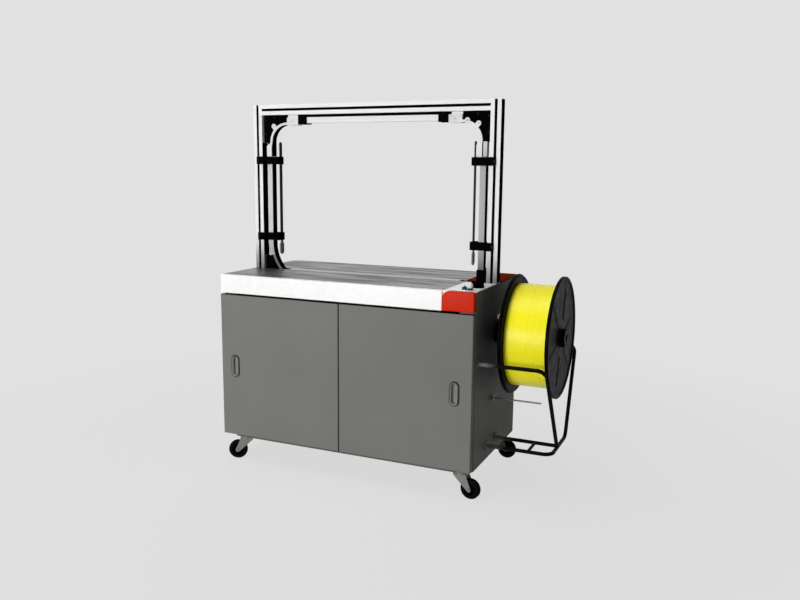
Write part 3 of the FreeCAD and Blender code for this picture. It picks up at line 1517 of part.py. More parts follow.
def electric_box():
    """The closed steel box for the wiring, standing on the tray at the left."""
    left = -size("rib_place") - size("tray_wall") * 2 - size("box_width")
    back = half_depth - size("caster_rear") - size("stem_radius") - size("boss_wall") - size("tray_wall")
    body = new_body("ElectricBox")
    plan = new_sketch(body, "ElectricPlan", "XY_Plane", tray_floor)
    outline(plan, corners_of((left, back - size("box_depth")), (left + size("box_width"), back)))
    block = pad(body, plan, size("box_height"))
    round_edges(body, block, 4, {"X": "min", "Y": "min"}, {"X": "max", "Y": "min"})
    keep(body, "electric_box")


# ---------------------------------------------------------------- assembly

base_tray()
side_panel(-1, "left")
side_panel(1, "right")
rear_sheets()
centre_post()
keep(group("DoorHardware", door_pivots() + door_catches()), "door_hardware")
front_band()
table()
controls()
table_rails()
slide_plate()
for door_hand, door_side in ((-1, "left"), (1, "right")):
    door(door_hand, door_side)
    door_pull(door_hand, door_side)
    corner_guide(door_hand, door_side)
side_tracks()
arch_frame()
gussets()
top_track()
hangers()
inner_rails()
clamps()
reel_bracket()
reel()
guard()
guide_rod()
strap_inlet()
for corner, (stem_x, stem_y) in caster_places().items():
    caster_fork(corner, stem_x, stem_y, CASTER_TURNS[corner])
    caster_wheel(corner, stem_x, stem_y, CASTER_TURNS[corner])
sealing_head()
gear_motor()
feed_unit()
magazine()
electric_box()

doc.recompute()
for item in doc.Objects:
    faults = [state for state in item.State if state in ("Invalid", "Error")]
    if faults:
        raise RuntimeError(f"{item.Label} is {faults}")
for label, item in nodes.items():
    if item.Shape.isNull() or not item.Shape.isValid():
        raise RuntimeError(label + " has no valid shape")

os.makedirs("parts", exist_ok=True)
for label, item in nodes.items():
    item.Shape.exportStep(f"parts/{label}.step")
print(len(nodes), "sub-parts written")
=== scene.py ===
import json
import math

import bmesh
import bpy
import numpy as np
from mathutils import Matrix, Vector


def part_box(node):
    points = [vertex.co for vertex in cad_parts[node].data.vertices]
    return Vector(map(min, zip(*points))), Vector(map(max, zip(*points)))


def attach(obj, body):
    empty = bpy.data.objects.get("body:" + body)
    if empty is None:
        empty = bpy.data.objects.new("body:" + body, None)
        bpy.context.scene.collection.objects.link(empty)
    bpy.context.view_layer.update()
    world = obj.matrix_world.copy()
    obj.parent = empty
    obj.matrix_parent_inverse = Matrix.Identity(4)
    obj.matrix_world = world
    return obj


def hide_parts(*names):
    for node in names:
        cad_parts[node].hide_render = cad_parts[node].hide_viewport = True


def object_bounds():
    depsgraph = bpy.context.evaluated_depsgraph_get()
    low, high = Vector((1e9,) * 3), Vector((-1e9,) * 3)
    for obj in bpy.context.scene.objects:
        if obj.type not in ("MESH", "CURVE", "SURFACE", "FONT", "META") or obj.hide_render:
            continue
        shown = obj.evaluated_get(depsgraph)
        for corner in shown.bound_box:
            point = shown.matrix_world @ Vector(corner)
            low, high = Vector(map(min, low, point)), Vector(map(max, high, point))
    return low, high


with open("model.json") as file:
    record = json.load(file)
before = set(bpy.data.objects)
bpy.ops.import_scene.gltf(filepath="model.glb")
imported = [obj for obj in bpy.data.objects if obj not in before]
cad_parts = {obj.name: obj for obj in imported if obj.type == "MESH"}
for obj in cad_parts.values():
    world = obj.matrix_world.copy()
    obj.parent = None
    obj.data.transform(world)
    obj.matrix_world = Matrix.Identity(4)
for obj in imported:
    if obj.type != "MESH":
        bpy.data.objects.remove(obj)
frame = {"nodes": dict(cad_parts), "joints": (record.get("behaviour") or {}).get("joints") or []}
cad_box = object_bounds()

# -------- camera
# The camera stands in front of the machine and well to its right, a little above the
# table, and looks down at the cabinet's front and right side.
CAMERA_PLACE = Vector((1.2431, -2.82818, 1.16213))
CAMERA_YAW, CAMERA_PITCH, CAMERA_ROLL = 0.4158, 0.1622, 0.0095
CAMERA_LENS, CAMERA_SENSOR = 35.80, 36.0
ahead = Vector((
    -math.sin(CAMERA_YAW) * math.cos(CAMERA_PITCH),
    math.cos(CAMERA_YAW) * math.cos(CAMERA_PITCH),
    -math.sin(CAMERA_PITCH),
))
level = Vector((math.cos(CAMERA_YAW), math.sin(CAMERA_YAW), 0.0))
upward = level.cross(ahead)
across = math.cos(CAMERA_ROLL) * level + math.sin(CAMERA_ROLL) * upward
upward = math.cos(CAMERA_ROLL) * upward - math.sin(CAMERA_ROLL) * level
camera_data = bpy.data.cameras.new("studio_camera")
camera_data.lens = CAMERA_LENS
camera_data.sensor_width = CAMERA_SENSOR
camera = bpy.data.objects.new("studio_camera", camera_data)
turn = Matrix((across, upward, -ahead)).transposed().to_4x4()
camera.matrix_world = Matrix.Translation(CAMERA_PLACE) @ turn
bpy.context.collection.objects.link(camera)
bpy.context.scene.camera = camera
bpy.context.scene.view_settings.view_transform = "Standard"

# -------- studio
# A pale floor that runs out to an even pale backdrop, one large soft lamp in front and to
# the left, one overhead and one behind. A dark flag stands at the right, so the room's
# light falls off toward that side.
BACKDROP = (0.753, 0.753, 0.753, 1.0)
OPEN_SIDE = (0.24, 0.24, 0.243, 1.0)
FLAGGED_SIDE = (0.008, 0.008, 0.008, 1.0)
FLAG_EDGE = 0.5
FLOOR_GREY = (0.68, 0.68, 0.68, 1.0)
SHADOW_GREY = (0.10, 0.10, 0.10, 1.0)
FLOOR_GLOW = (0.66, 0.66, 0.66, 1.0)
FADE_FROM, FADE_TO = 0.9, 2.6
FLOOR_REACH, FLOOR_LEVEL = 30.0, -0.0004


def add(tree, kind, values=None, **settings):
    """One shader node with its own settings. Each value goes to the input of that name or
    number, and where the value is another node's output it is linked."""
    node = tree.nodes.new(kind)
    for name, setting in settings.items():
        setattr(node, name, setting)
    for key, value in (values or {}).items():
        if isinstance(value, bpy.types.NodeSocket):
            tree.links.new(value, node.inputs[key])
        else:
            node.inputs[key].default_value = value
    return node


def blended(tree, share, first, second):
    """A colour that goes from the first to the second as the share goes from 0 to 1."""
    first, second = (
        colour if isinstance(colour, bpy.types.NodeSocket) else (*colour[:3], 1.0)
        for colour in (first, second)
    )
    mix = add(tree, "ShaderNodeMix", {0: share, 6: first, 7: second}, data_type="RGBA")
    return mix.outputs[2]


def seen_directly(tree):
    """1 for rays that come straight from the eye, off a gloss or through glass, else 0."""
    ray = add(tree, "ShaderNodeLightPath").outputs
    either = add(tree, "ShaderNodeMath", {0: ray["Is Camera Ray"], 1: ray["Is Glossy Ray"]},
                 operation="MAXIMUM")
    return add(tree, "ShaderNodeMath", {0: either.outputs[0], 1: ray["Is Transmission Ray"]},
               operation="MAXIMUM").outputs[0]


def eased(tree, value, start, end):
    """0 to 1 as the value goes from start to end, without a corner at either end."""
    return add(tree, "ShaderNodeMapRange", {"Value": value, "From Min": start, "From Max": end},
               interpolation_type="SMOOTHSTEP").outputs[0]


def reach(tree, axis, start, end, source="Object"):
    """0 to 1 along one axis, eased from start to end."""
    place = add(tree, "ShaderNodeTexCoord").outputs[source]
    return eased(tree, add(tree, "ShaderNodeSeparateXYZ", {0: place}).outputs[axis], start, end)


world = bpy.data.worlds.new("studio_world")
bpy.context.scene.world = world
world.use_nodes = True
sky = world.node_tree
room = blended(sky, reach(sky, "X", -FLAG_EDGE, FLAG_EDGE, "Generated"), OPEN_SIDE, FLAGGED_SIDE)
room = blended(sky, seen_directly(sky), room, BACKDROP)
sky.links.new(room, sky.nodes["Background"].inputs["Color"])

floor_mesh = bpy.data.meshes.new("studio_floor")
floor_corners = [
    (x * FLOOR_REACH, y * FLOOR_REACH, FLOOR_LEVEL) for x, y in ((-1, -1), (1, -1), (1, 1), (-1, 1))
]
floor_mesh.from_pydata(floor_corners, [], [(0, 1, 2, 3)])
studio_floor = bpy.data.objects.new("studio_floor", floor_mesh)
bpy.context.collection.objects.link(studio_floor)
floor_paint = bpy.data.materials.new("studio_floor")
floor_paint.use_nodes = True
tree = floor_paint.node_tree
tree.nodes.clear()
plain = add(tree, "ShaderNodeBsdfDiffuse", {"Color": FLOOR_GREY})
faint = add(tree, "ShaderNodeBsdfDiffuse", {"Color": SHADOW_GREY})
near_glow = add(tree, "ShaderNodeEmission", {"Color": FLOOR_GLOW})
far_glow = add(tree, "ShaderNodeEmission", {"Color": BACKDROP})
near = add(tree, "ShaderNodeAddShader", {0: faint.outputs[0], 1: near_glow.outputs[0]})
place = add(tree, "ShaderNodeTexCoord").outputs["Object"]
distance = add(tree, "ShaderNodeVectorMath", {0: place}, operation="LENGTH").outputs["Value"]
spread = add(tree, "ShaderNodeMixShader", {
    0: eased(tree, distance, FADE_FROM, FADE_TO), 1: near.outputs[0], 2: far_glow.outputs[0]})
shown = add(tree, "ShaderNodeMixShader", {
    0: seen_directly(tree), 1: plain.outputs[0], 2: spread.outputs[0]})
add(tree, "ShaderNodeOutputMaterial", {"Surface": shown.outputs[0]})
floor_mesh.materials.append(floor_paint)


def soft_lamp(name, place, target, side, power):
    """A square lamp of the given side, turned from its place to the target."""
    data = bpy.data.lights.new(name, "AREA")
    data.shape = "SQUARE"
    data.size = side
    data.energy = power
    lamp = bpy.data.objects.new(name, data)
    lamp.location = place
    lamp.rotation_euler = (Vector(target) - Vector(place)).to_track_quat("-Z", "Y").to_euler()
    bpy.context.collection.objects.link(lamp)
    return lamp


soft_lamp("front_lamp", (-1.5, -4.9, 0.95), (0.0, 0.0, 0.6), 2.4, 184.0)
soft_lamp("top_lamp", (-0.6, -0.5, 4.4), (0.0, 0.0, 0.7), 2.6, 84.0)
rear_lamp = soft_lamp("rear_lamp", (-2.6, 4.4, 2.6), (0.0, 0.0, 0.6), 2.4, 70.0)
rear_lamp.visible_camera = False
rear_lamp.visible_glossy = False

# -------- cabinet sheet metal
# Folded steel sheets, welded into a tray with two side panels and a rear panel, and sprayed
# with a charcoal powder coat that keeps a fine pebbled skin.
EVEN = (1, 1, 1)


def cloudy(tree, size, stretch=EVEN, detail=3.0):
    """Noise whose blobs are about the given size in metres, drawn out by the stretch."""
    place = add(tree, "ShaderNodeTexCoord").outputs["Object"]
    scale = [1.0 / (size * part) for part in stretch]
    scaled = add(tree, "ShaderNodeMapping", {"Vector": place, "Scale": scale}).outputs["Vector"]
    return add(tree, "ShaderNodeTexNoise", {
        "Vector": scaled, "Scale": 1.0, "Detail": detail}).outputs["Fac"]


def between(tree, value, low, high, from_low=0.3, from_high=0.7):
    """The value drawn from its own range into another one."""
    return add(tree, "ShaderNodeMapRange", {
        "Value": value, "From Min": from_low, "From Max": from_high, "To Min": low, "To Max": high,
    }).outputs["Result"]


def raised(tree, shader, height, depth, strength):
    """A bump of the given depth in metres on the shader's normal."""
    bump = add(tree, "ShaderNodeBump", {"Height": height, "Distance": depth, "Strength": strength})
    tree.links.new(bump.outputs["Normal"], shader.inputs["Normal"])


def inside(material):
    """The material's node tree and its shader."""
    return material.node_tree, material.node_tree.nodes["Principled BSDF"]


def new_finish(name, colour, roughness, metallic=0.0, shine=0.5, tint=None, gloss=None, grain=None,
               **sockets):
    """A material with its even values set on the shader's own sockets. The tint is a dark and
    a light colour, the gloss a low and a high roughness, and the grain a depth in metres and
    a strength. Each ends with the size of its clouds and, where needed, stretch and detail."""
    material = bpy.data.materials.new(name)
    material.use_nodes = True
    tree, shader = inside(material)
    shader.inputs["Base Color"].default_value = (*colour, 1.0)
    shader.inputs["Roughness"].default_value = roughness
    shader.inputs["Metallic"].default_value = metallic
    shader.inputs["Specular IOR Level"].default_value = shine
    for socket, value in sockets.items():
        shader.inputs[socket.replace("_", " ")].default_value = value
    if tint:
        dark, light, *cloud = tint
        share = between(tree, cloudy(tree, *cloud), 0, 1)
        tree.links.new(blended(tree, share, dark, light), shader.inputs["Base Color"])
    if gloss:
        low, high, *cloud = gloss
        tree.links.new(between(tree, cloudy(tree, *cloud), low, high), shader.inputs["Roughness"])
    if grain:
        depth, strength, *cloud = grain
        raised(tree, shader, cloudy(tree, *cloud), depth, strength)
    return material


def shaded(colour, share):
    """The colour times a share."""
    return tuple(part * share for part in colour)


def dress(material, *nodes):
    """Gives the named CAD pieces this material."""
    for node in nodes:
        for slot in frame["nodes"][node].material_slots:
            slot.material = material


def powder_coat(name, colour, spread=0.06, roughness=0.50, shine=0.05):
    """Pebbled paint: faint large clouds in its colour and gloss, and a fine raised grain."""
    return new_finish(
        name, colour, roughness, tint=(shaded(colour, 1 - spread), shaded(colour, 1 + spread), 0.32),
        gloss=(roughness - 0.05, roughness + 0.07, 0.05), grain=(0.00006, 0.5, 0.0016, EVEN, 1.0),
        shine=shine,
    )


charcoal = powder_coat("charcoal_powder_coat", (0.158, 0.158, 0.150))
dress(charcoal, "base_tray", "side_panel_left", "side_panel_right", "rear_panel", "centre_post")
UP, RIGHT, FRONT, BACK = (0, 0, 1), (1, 0, 0), (0, -1, 0), (0, 1, 0)


def corners(node):
    """A CAD piece's lowest and highest corners as arrays."""
    low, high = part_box(node)
    return np.array(low), np.array(high)


def build_piece(name, shape, material, body="cabinet", sharp=32.0):
    """Turns points and faces into one piece: doubles joined, faces turned outward."""
    vertices, faces = shape
    mesh = bpy.data.meshes.new(name)
    mesh.from_pydata(np.asarray(vertices, float).tolist(), [], np.asarray(faces).tolist())
    shell = bmesh.new()
    shell.from_mesh(mesh)
    bmesh.ops.remove_doubles(shell, verts=shell.verts, dist=1e-6)
    bmesh.ops.recalc_face_normals(shell, faces=shell.faces)
    shell.to_mesh(mesh)
    shell.free()
    mesh.shade_smooth()
    mesh.set_sharp_from_angle(angle=math.radians(sharp))
    mesh.materials.append(material)
    piece = bpy.data.objects.new(name, mesh)
    bpy.context.collection.objects.link(piece)
    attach(piece, body)
    return piece


def ring_faces(rows, columns, closed_rows=False):
    """Quads between neighbours of a rows by columns grid whose columns close into a ring."""
    row = np.arange(rows if closed_rows else rows - 1)[:, None]
    column = np.arange(columns)[None, :]
    after, beside = (row + 1) % rows, (column + 1) % columns
    quad = [row * columns + column, row * columns + beside, after * columns + beside,
            after * columns + column]
    return np.stack([corner.ravel() for corner in quad], axis=1)


def capped(rows):
    """A skin through rings of points, closed at both ends on the middle of the end ring."""
    rows = np.array(rows)
    first, last = (np.broadcast_to(ring.mean(axis=0), ring.shape) for ring in (rows[0], rows[-1]))
    return np.concatenate([first, *rows, last]), ring_faces(len(rows) + 2, rows.shape[1])


def full_turn(steps):
    """Angles that go round once, with no angle given twice."""
    return np.linspace(0, 2 * np.pi, steps, endpoint=False)


def swung(radius, height, angle):
    """Rows of points swung round the Z axis: (r cos a, r sin a, h)."""
    grid = np.broadcast_arrays(radius * np.cos(angle), radius * np.sin(angle), height)
    return np.stack(grid, axis=2).reshape(-1, 3)


def turned(profile, columns=32):
    """Radius and height pairs turned into a skin round the Z axis."""
    profile = np.asarray(profile, float)
    points = swung(profile[:, :1], profile[:, 1:], full_turn(columns))
    return points, ring_faces(len(profile), columns)


def six_sided(apothem, angle):
    """Radius of a hexagon at each angle: apothem / cos(a folded into 60 degrees)."""
    return apothem / np.cos((angle + np.pi / 6) % (np.pi / 3) - np.pi / 6)


def ring_stack(angle, rings):
    """Rings of the given radii and heights over the same angles, joined into one skin."""
    radii = np.stack([np.broadcast_to(radius, angle.shape) for radius, _ in rings])
    heights = np.array([[height] for _, height in rings])
    return swung(radii, heights, angle), ring_faces(len(rings), len(angle))


def socket_screw(radius, height, columns=18):
    """A cap screw's head: a skirt with a rounded rim, and a well whose rings are six-sided."""
    angle = full_turn(columns)
    well = six_sided(0.46 * radius, angle)
    return ring_stack(angle, [
        (radius, 0.0), (radius, height * 0.78), (radius * 0.86, height), (well, height),
        (well, height * 0.45), (0.0 * well, height * 0.40),
    ])


def hex_nut(radius, height, bore=0.0):
    """A nut or bolt head: six-sided rings, chamfered at the top, round a stub of the bolt
    that stands a little proud."""
    angle = full_turn(24)
    flat = six_sided(0.866 * radius, angle)
    stub = np.full(len(angle), bore if bore else radius * 0.5)
    top = height * (1.25 if bore else 1.0)
    return ring_stack(angle, [
        (flat, 0.0), (flat, height * 0.86), (np.minimum(flat, 0.93 * radius), height),
        (stub, height), (stub * 0.98, top), (stub * 0.0, top),
    ])


def set_down(shape, places, outward=UP):
    """Copies of one shape with its Z axis along outward: p + x side + y top + z outward."""
    points, faces = shape
    places = np.asarray(places, float).reshape(-1, 3)
    outward = np.asarray(outward, float) / np.linalg.norm(outward)
    helper = np.array([0, 0, 1.0]) if abs(outward[2]) < 0.9 else np.array([1.0, 0, 0])
    side = np.cross(helper, outward)
    side /= np.linalg.norm(side)
    basis = np.stack([side, np.cross(outward, side), outward])
    all_points = places[:, None, :] + (points @ basis)[None]
    steps = np.arange(len(places))[:, None, None] * len(points)
    return all_points.reshape(-1, 3), (faces[None] + steps).reshape(-1, faces.shape[1])


def together(*shapes):
    """Several shapes as one set of points and faces."""
    starts = np.cumsum([0] + [len(points) for points, _ in shapes])
    faces = [shape_faces + start for (_, shape_faces), start in zip(shapes, starts)]
    return np.concatenate([points for points, _ in shapes]), np.concatenate(faces)


def bright_steel(name, colour=(0.62, 0.63, 0.64), roughness=0.32):
    """Zinc on steel: cool grey metal with small crystals in its gloss and fine scratches."""
    crystals = (0.004, EVEN, 4.0)
    return new_finish(
        name, colour, roughness, 1.0, tint=(shaded(colour, 0.82), colour, *crystals),
        gloss=(roughness - 0.08, roughness + 0.14, *crystals),
        grain=(0.00004, 0.4, 0.0009, (1, 1, 6)),
    )


zinc = bright_steel("zinc_plate")
black_oxide = new_finish(
    "black_oxide_screws", (0.005, 0.005, 0.0055), 0.42, gloss=(0.28, 0.48, 0.003),
    grain=(0.00003, 0.4, 0.0007), shine=0.05,
)

SCREW_INSET_X, SCREW_INSET_Z, SCREW_SUNK = 0.045, 0.03, 0.0012
rear_low, rear_high = corners("rear_panel")
grid_x, grid_z = np.meshgrid(
    np.linspace(rear_low[0] + SCREW_INSET_X, rear_high[0] - SCREW_INSET_X, 5),
    np.linspace(rear_low[2] + SCREW_INSET_Z, rear_high[2] - SCREW_INSET_Z, 3),
)
grid_y = np.full(grid_x.size, rear_high[1] - SCREW_SUNK)
rear_places = np.stack([grid_x.ravel(), grid_y, grid_z.ravel()], axis=1)
build_piece("rear_panel_screws", set_down(socket_screw(0.0050, 0.0011), rear_places, BACK),
            black_oxide)

STEM_NUT_LEVEL = 0.1473
stems = {
    joint["name"][len("caster_swivel_"):]: joint["pos_m"][:2]
    for joint in frame["joints"] if joint["name"].startswith("caster_swivel_")
}
stem_places = [[*stem, STEM_NUT_LEVEL] for stem in stems.values()]
build_piece("caster_stem_nuts", set_down(hex_nut(0.0105, 0.008, 0.0055), stem_places), zinc)

# -------- doors
# Two folded steel doors in the same coat, hung on pins at the centre post, with painted shade
# in black along the top edge, where the gap under the band falls dark, and a moulded cup pull
# pressed in near the outer edge.
GAP_SHADE_BLACK = (0.004, 0.004, 0.004)
GAP_SHADE_FROM, GAP_SHADE_TO = 0.0006, 0.0002


def fade_colour(material, axis, start, end, first=None, second=None):
    """The material's colour goes from the first to the second from start to end along the
    axis. Where one isn't given, it's the colour that the material has."""
    tree, shader = inside(material)
    colour = shader.inputs["Base Color"]
    own = colour.links[0].from_socket if colour.links else tuple(colour.default_value)
    share = reach(tree, axis, start, end)
    tree.links.new(blended(tree, share, first or own, second or own), colour)


door_coat = powder_coat("door_powder_coat", (0.184, 0.184, 0.173), 0.04)
door_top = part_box("door_left")[1][2]
# Painted shade: each door's top edge face goes black, standing in for the shadow in the gap under the
# band.
fade_colour(door_coat, "Z", door_top - GAP_SHADE_FROM, door_top - GAP_SHADE_TO, second=GAP_SHADE_BLACK)
dress(door_coat, "door_left", "door_right")
dress(black_oxide, "door_hardware")


def rounded_outline(low, high, radii, inset, per_corner=9):
    """A rectangle's outline, inset evenly, with its four corners turned as quarter circles.
    The radii go round from the lower left corner, against the clock."""
    points = []
    for number, radius in enumerate(radii):
        angle = np.pi + number * np.pi / 2 + np.linspace(0, np.pi / 2, per_corner)
        turn = max(radius - inset, 0.0002)
        centre_x = high[0] - inset - turn if number in (1, 2) else low[0] + inset + turn
        centre_z = high[1] - inset - turn if number in (2, 3) else low[1] + inset + turn
        x, z = centre_x + turn * np.cos(angle), centre_z + turn * np.sin(angle)
        points.append(np.stack([x, z], axis=1))
    return np.concatenate(points)


def outline_rows(front, stages):
    """Rings that lie in XZ planes: each stage is an outline's low and high corner and radii,
    an inset and a depth behind the front."""
    return [
        np.insert(rounded_outline(*outline, inset), 1, front + depth, axis=1)
        for outline, inset, depth in stages
    ]


# The pulls' rims are painted shade: near black, standing in for the shadow round each recessed pull.
pull_rim_shade_paint = new_finish(
    "pull_rim_black", (0.030, 0.030, 0.029), 0.5, grain=(0.00003, 0.4, 0.001),
    shine=0.05,
)
pull_grey = powder_coat("pull_cup_grey", (0.235, 0.235, 0.228), 0.03)
PULL_TURNS, MOUTH_TURNS = (0.019,) * 4, (0.0145,) * 4
for side in ("left", "right"):
    low, high = corners("door_pull_" + side)
    whole = ((low[0], low[2]), (high[0], high[2]), PULL_TURNS)
    mouth = ((low[0] + 0.0020, low[2] + 0.0025), (high[0] - 0.0062, high[2] - 0.0045), MOUTH_TURNS)
    rim_rows = outline_rows(low[1], [
        (whole, 0.0, 0.0019), (whole, 0.0, 0.0005), (whole, 0.0006, 0.0), (mouth, 0.0, 0.0),
        (mouth, 0.0004, 0.0004), (mouth, 0.0004, 0.0019),
    ])
    rim_shape = np.concatenate(rim_rows), ring_faces(len(rim_rows), len(rim_rows[0]), True)
    build_piece("pull_rim_" + side, rim_shape, pull_rim_shade_paint, "door_" + side, 40.0)
    cup_rows = outline_rows(low[1], [
        (whole, 0.0062, 0.0155), (whole, 0.0062, 0.0020), (mouth, 0.0005, 0.0018),
        (mouth, 0.0005, 0.0005), (whole, 0.0070, 0.0030), (whole, 0.0078, 0.0126),
        (whole, 0.0105, 0.0135),
    ])
    cup = build_piece("pull_cup_" + side, capped(cup_rows), pull_grey,
                      "door_" + side, 40.0)
    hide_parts("door_pull_" + side)

# -------- band under the table
# A folded steel band round the top of the cabinet in gloss white, and a red moulded end
# cap slipped over its right front corner.


def gloss_paint(name, colour, roughness=0.26, shine=0.3):
    """Sprayed gloss: an even colour with a long shallow orange peel in its skin."""
    return new_finish(
        name, colour, roughness, tint=(shaded(colour, 0.985), colour, 0.22),
        gloss=(roughness - 0.05, roughness + 0.08, 0.03), grain=(0.00005, 0.15, 0.0042, EVEN, 1.0),
        shine=shine,
    )


white_gloss = gloss_paint("white_gloss_paint", (0.92, 0.92, 0.91))
red_gloss = gloss_paint("red_gloss_paint", (0.62, 0.022, 0.003), 0.34, 0.05)
# The rear corner cover takes a darker copy of the cap's red: painted shade.
shaded_red_gloss = gloss_paint("dark_red_gloss_paint", (0.155, 0.018, 0.007), 0.42, 0.0)
dress(white_gloss, "front_band", "rear_band", "control_panel")
dress(shaded_red_gloss, "rear_corner_cover")

CAP_WALL = 0.002
TONGUE_LENGTH = 0.050
cap_low, cap_high = corners("front_end_cap")
cap_depth = cap_high[1] - cap_low[1]
cap_outline = (cap_low[[0, 2]], cap_high[[0, 2]], (0.004, 0.004, 0.010, 0.026))
tongue_outline = (
    cap_low[[0, 2]] + (-0.0002, 0.0045), (cap_low[0] + TONGUE_LENGTH, cap_high[2] - 0.0004),
    (0.001,) * 4,
)
cap_piece = build_piece(
    "end_cap_shell",
    capped(outline_rows(cap_low[1], [(cap_outline, inset, depth) for inset, depth in (
        (0.0050, 0.0), (0.0022, 0.0003), (0.0006, 0.0014), (0.0, 0.0040), (0.0, cap_depth),
        (CAP_WALL, cap_depth), (CAP_WALL, 0.0040), (CAP_WALL + 0.003, CAP_WALL),
    )])),
    red_gloss, sharp=40.0,
)
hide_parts("front_end_cap")
tongue_rows = outline_rows(cap_low[1], [
    (tongue_outline, 0.0, 0.0052), (tongue_outline, 0.0, cap_depth - 0.001)])
build_piece("band_tongue", capped(tongue_rows), white_gloss)

# -------- table
# Two brushed steel sheets with a slot between them, on folded rails. The brush marks run
# along the table, and long bright and dull bands run along it in its colour and gloss.
BAND_DULL, BAND_BRIGHT = (0.112, 0.110, 0.106), (0.27, 0.27, 0.262)
table_steel = new_finish("brushed_table_steel", (0.34, 0.34, 0.33), 0.34, 1.0)
tree, shader = inside(table_steel)
bands = cloudy(tree, 0.036, (7, 1, 1), 2.0)
brush = cloudy(tree, 0.0011, (90, 1, 1), 3.0)
band_colour = blended(tree, between(tree, bands, 0, 1, 0.42, 0.60), BAND_DULL, BAND_BRIGHT)
tree.links.new(band_colour, shader.inputs["Base Color"])
band_gloss = add(tree, "ShaderNodeMath", {
    0: between(tree, bands, 0.14, -0.02), 1: between(tree, brush, 0.20, 0.42)}, operation="ADD")
tree.links.new(band_gloss.outputs[0], shader.inputs["Roughness"])
raised(tree, shader, brush, 0.00005, 0.5)
dress(table_steel, "table_front", "table_rear")
slide_steel = bright_steel("ground_slide_steel", (0.50, 0.50, 0.50), 0.28)
dress(slide_steel, "slide_plate")
black_coat = powder_coat("black_powder_coat", (0.014, 0.014, 0.015), 0.15, 0.45)
dress(black_coat, "table_rails")

# -------- controls
# A fluted rotary main switch, a white push button in a dark green collar, and a low black
# dial for the strap's tension, all screwed through the white panel.


def moulded(name, colour, roughness=0.45, shine=0.12):
    """Moulded plastic: even colour, with a fine spark-eroded grain in its gloss and skin."""
    return new_finish(
        name, colour, roughness, tint=(shaded(colour, 0.88), colour, 0.04),
        gloss=(roughness - 0.06, roughness + 0.08, 0.006),
        grain=(0.00003, 0.6, 0.0008, EVEN, 1.0), shine=shine,
    )


black_plastic = moulded("black_moulded_plastic", (0.0025, 0.0024, 0.0025), 0.5, 0.0)
green_plastic = moulded("dark_green_plastic", (0.010, 0.055, 0.040), 0.3)
white_plastic = moulded("white_button_plastic", (0.82, 0.82, 0.82), 0.28)
chrome = new_finish("polished_chrome", (0.78, 0.79, 0.80), 0.12, 1.0, gloss=(0.08, 0.2, 0.012),
                    grain=(0.00002, 0.3, 0.002))


def fluted_knob(height, radius, flutes, depth, columns=120):
    """A turned knob whose skirt radius is r - depth (1 + cos(flutes a)) / 2, with a rounded
    rim and a dished top."""
    angle = full_turn(columns)
    flute = depth * 0.5 * (1 + np.cos(flutes * angle))
    profile = [(1.0, 0.0, 0.2), (1.0, 0.12, 0.2), (0.97, 0.16, 1.0), (0.94, 0.80, 1.0),
               (0.90, 0.92, 0.8), (0.82, 1.0, 0.3), (0.55, 0.985, 0.0), (0.30, 0.95, 0.0),
               (0.0, 0.94, 0.0)]
    rings = [(0.0, 0.0)] + [(radius * out - flute * cut, height * rise) for out, rise, cut in profile]
    return ring_stack(angle, rings)


def on_table(node):
    """Middle of a control on the table's level, with its height over the table."""
    low, high = corners(node)
    return np.array([*(0.5 * (low + high))[:2], table_top]), high[2] - table_top


table_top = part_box("table_front")[1][2]
KNOB_PLAY = (0, 0, 0.0002)
GRIP_HALF, GRIP_FOOT = 0.0026, 0.0108
switch_seat, switch_height = on_table("main_switch_knob")
switch = set_down(fluted_knob(0.0115, 0.0098, 18, 0.0007), switch_seat + KNOB_PLAY)
bar_v = np.linspace(-0.0095, 0.0095, 15)[:, None]
bar_a = np.linspace(0, np.pi, 9)
half_round = GRIP_HALF * np.sqrt(np.clip(1 - (bar_v / 0.0096) ** 4, 0, 1))
bar = swung(half_round, bar_v, bar_a)[:, [0, 2, 1]]
bar[:, 2] = GRIP_FOOT + np.minimum(2.0 * bar[:, 2], switch_height - GRIP_FOOT - 0.0001)
bar_shape = bar + switch_seat, ring_faces(len(bar_v), len(bar_a))
switch_piece = build_piece("main_switch_grip", together(switch, bar_shape), green_plastic,
                           "main_switch")
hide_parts("main_switch_knob")
bezel = turned([(0.0101, 0.0001), (0.0116, 0.0001), (0.0116, 0.0010), (0.0108, 0.0016),
                (0.0101, 0.0016), (0.0101, 0.0001)], 48)
build_piece("main_switch_bezel", set_down(bezel, switch_seat), chrome)

button_seat, cap_height = on_table("reset_button")
button = turned([
    (0.0, 0.0040), (0.0074, 0.0040), (0.0074, 0.0120), (0.0088, 0.0124), (0.0090, 0.0140),
    (0.0090, cap_height - 0.0028), (0.0082, cap_height - 0.0008), (0.0060, cap_height - 0.0001),
    (0.0030, cap_height - 0.0004), (0.0, cap_height - 0.0007),
], 40)
button_piece = build_piece("reset_button_cap", set_down(button, button_seat), white_plastic,
                           "reset_button")
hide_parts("reset_button")
collar = turned([(0.0078, 0.0001), (0.0102, 0.0001), (0.0102, 0.0012), (0.0094, 0.0020),
                 (0.0088, 0.0078), (0.0078, 0.0078), (0.0078, 0.0001)], 40)
build_piece("reset_button_collar", set_down(collar, button_seat), green_plastic)

dial_seat, dial_height = on_table("tension_dial")
dial_radius = 0.5 * np.ptp(corners("tension_dial"), axis=0)[0]
dial = fluted_knob(dial_height - 0.0003, dial_radius, 30, 0.0016, 240)
dial_piece = build_piece("tension_dial_knob", set_down(dial, dial_seat + KNOB_PLAY), black_plastic,
                         "tension_dial")
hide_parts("tension_dial")

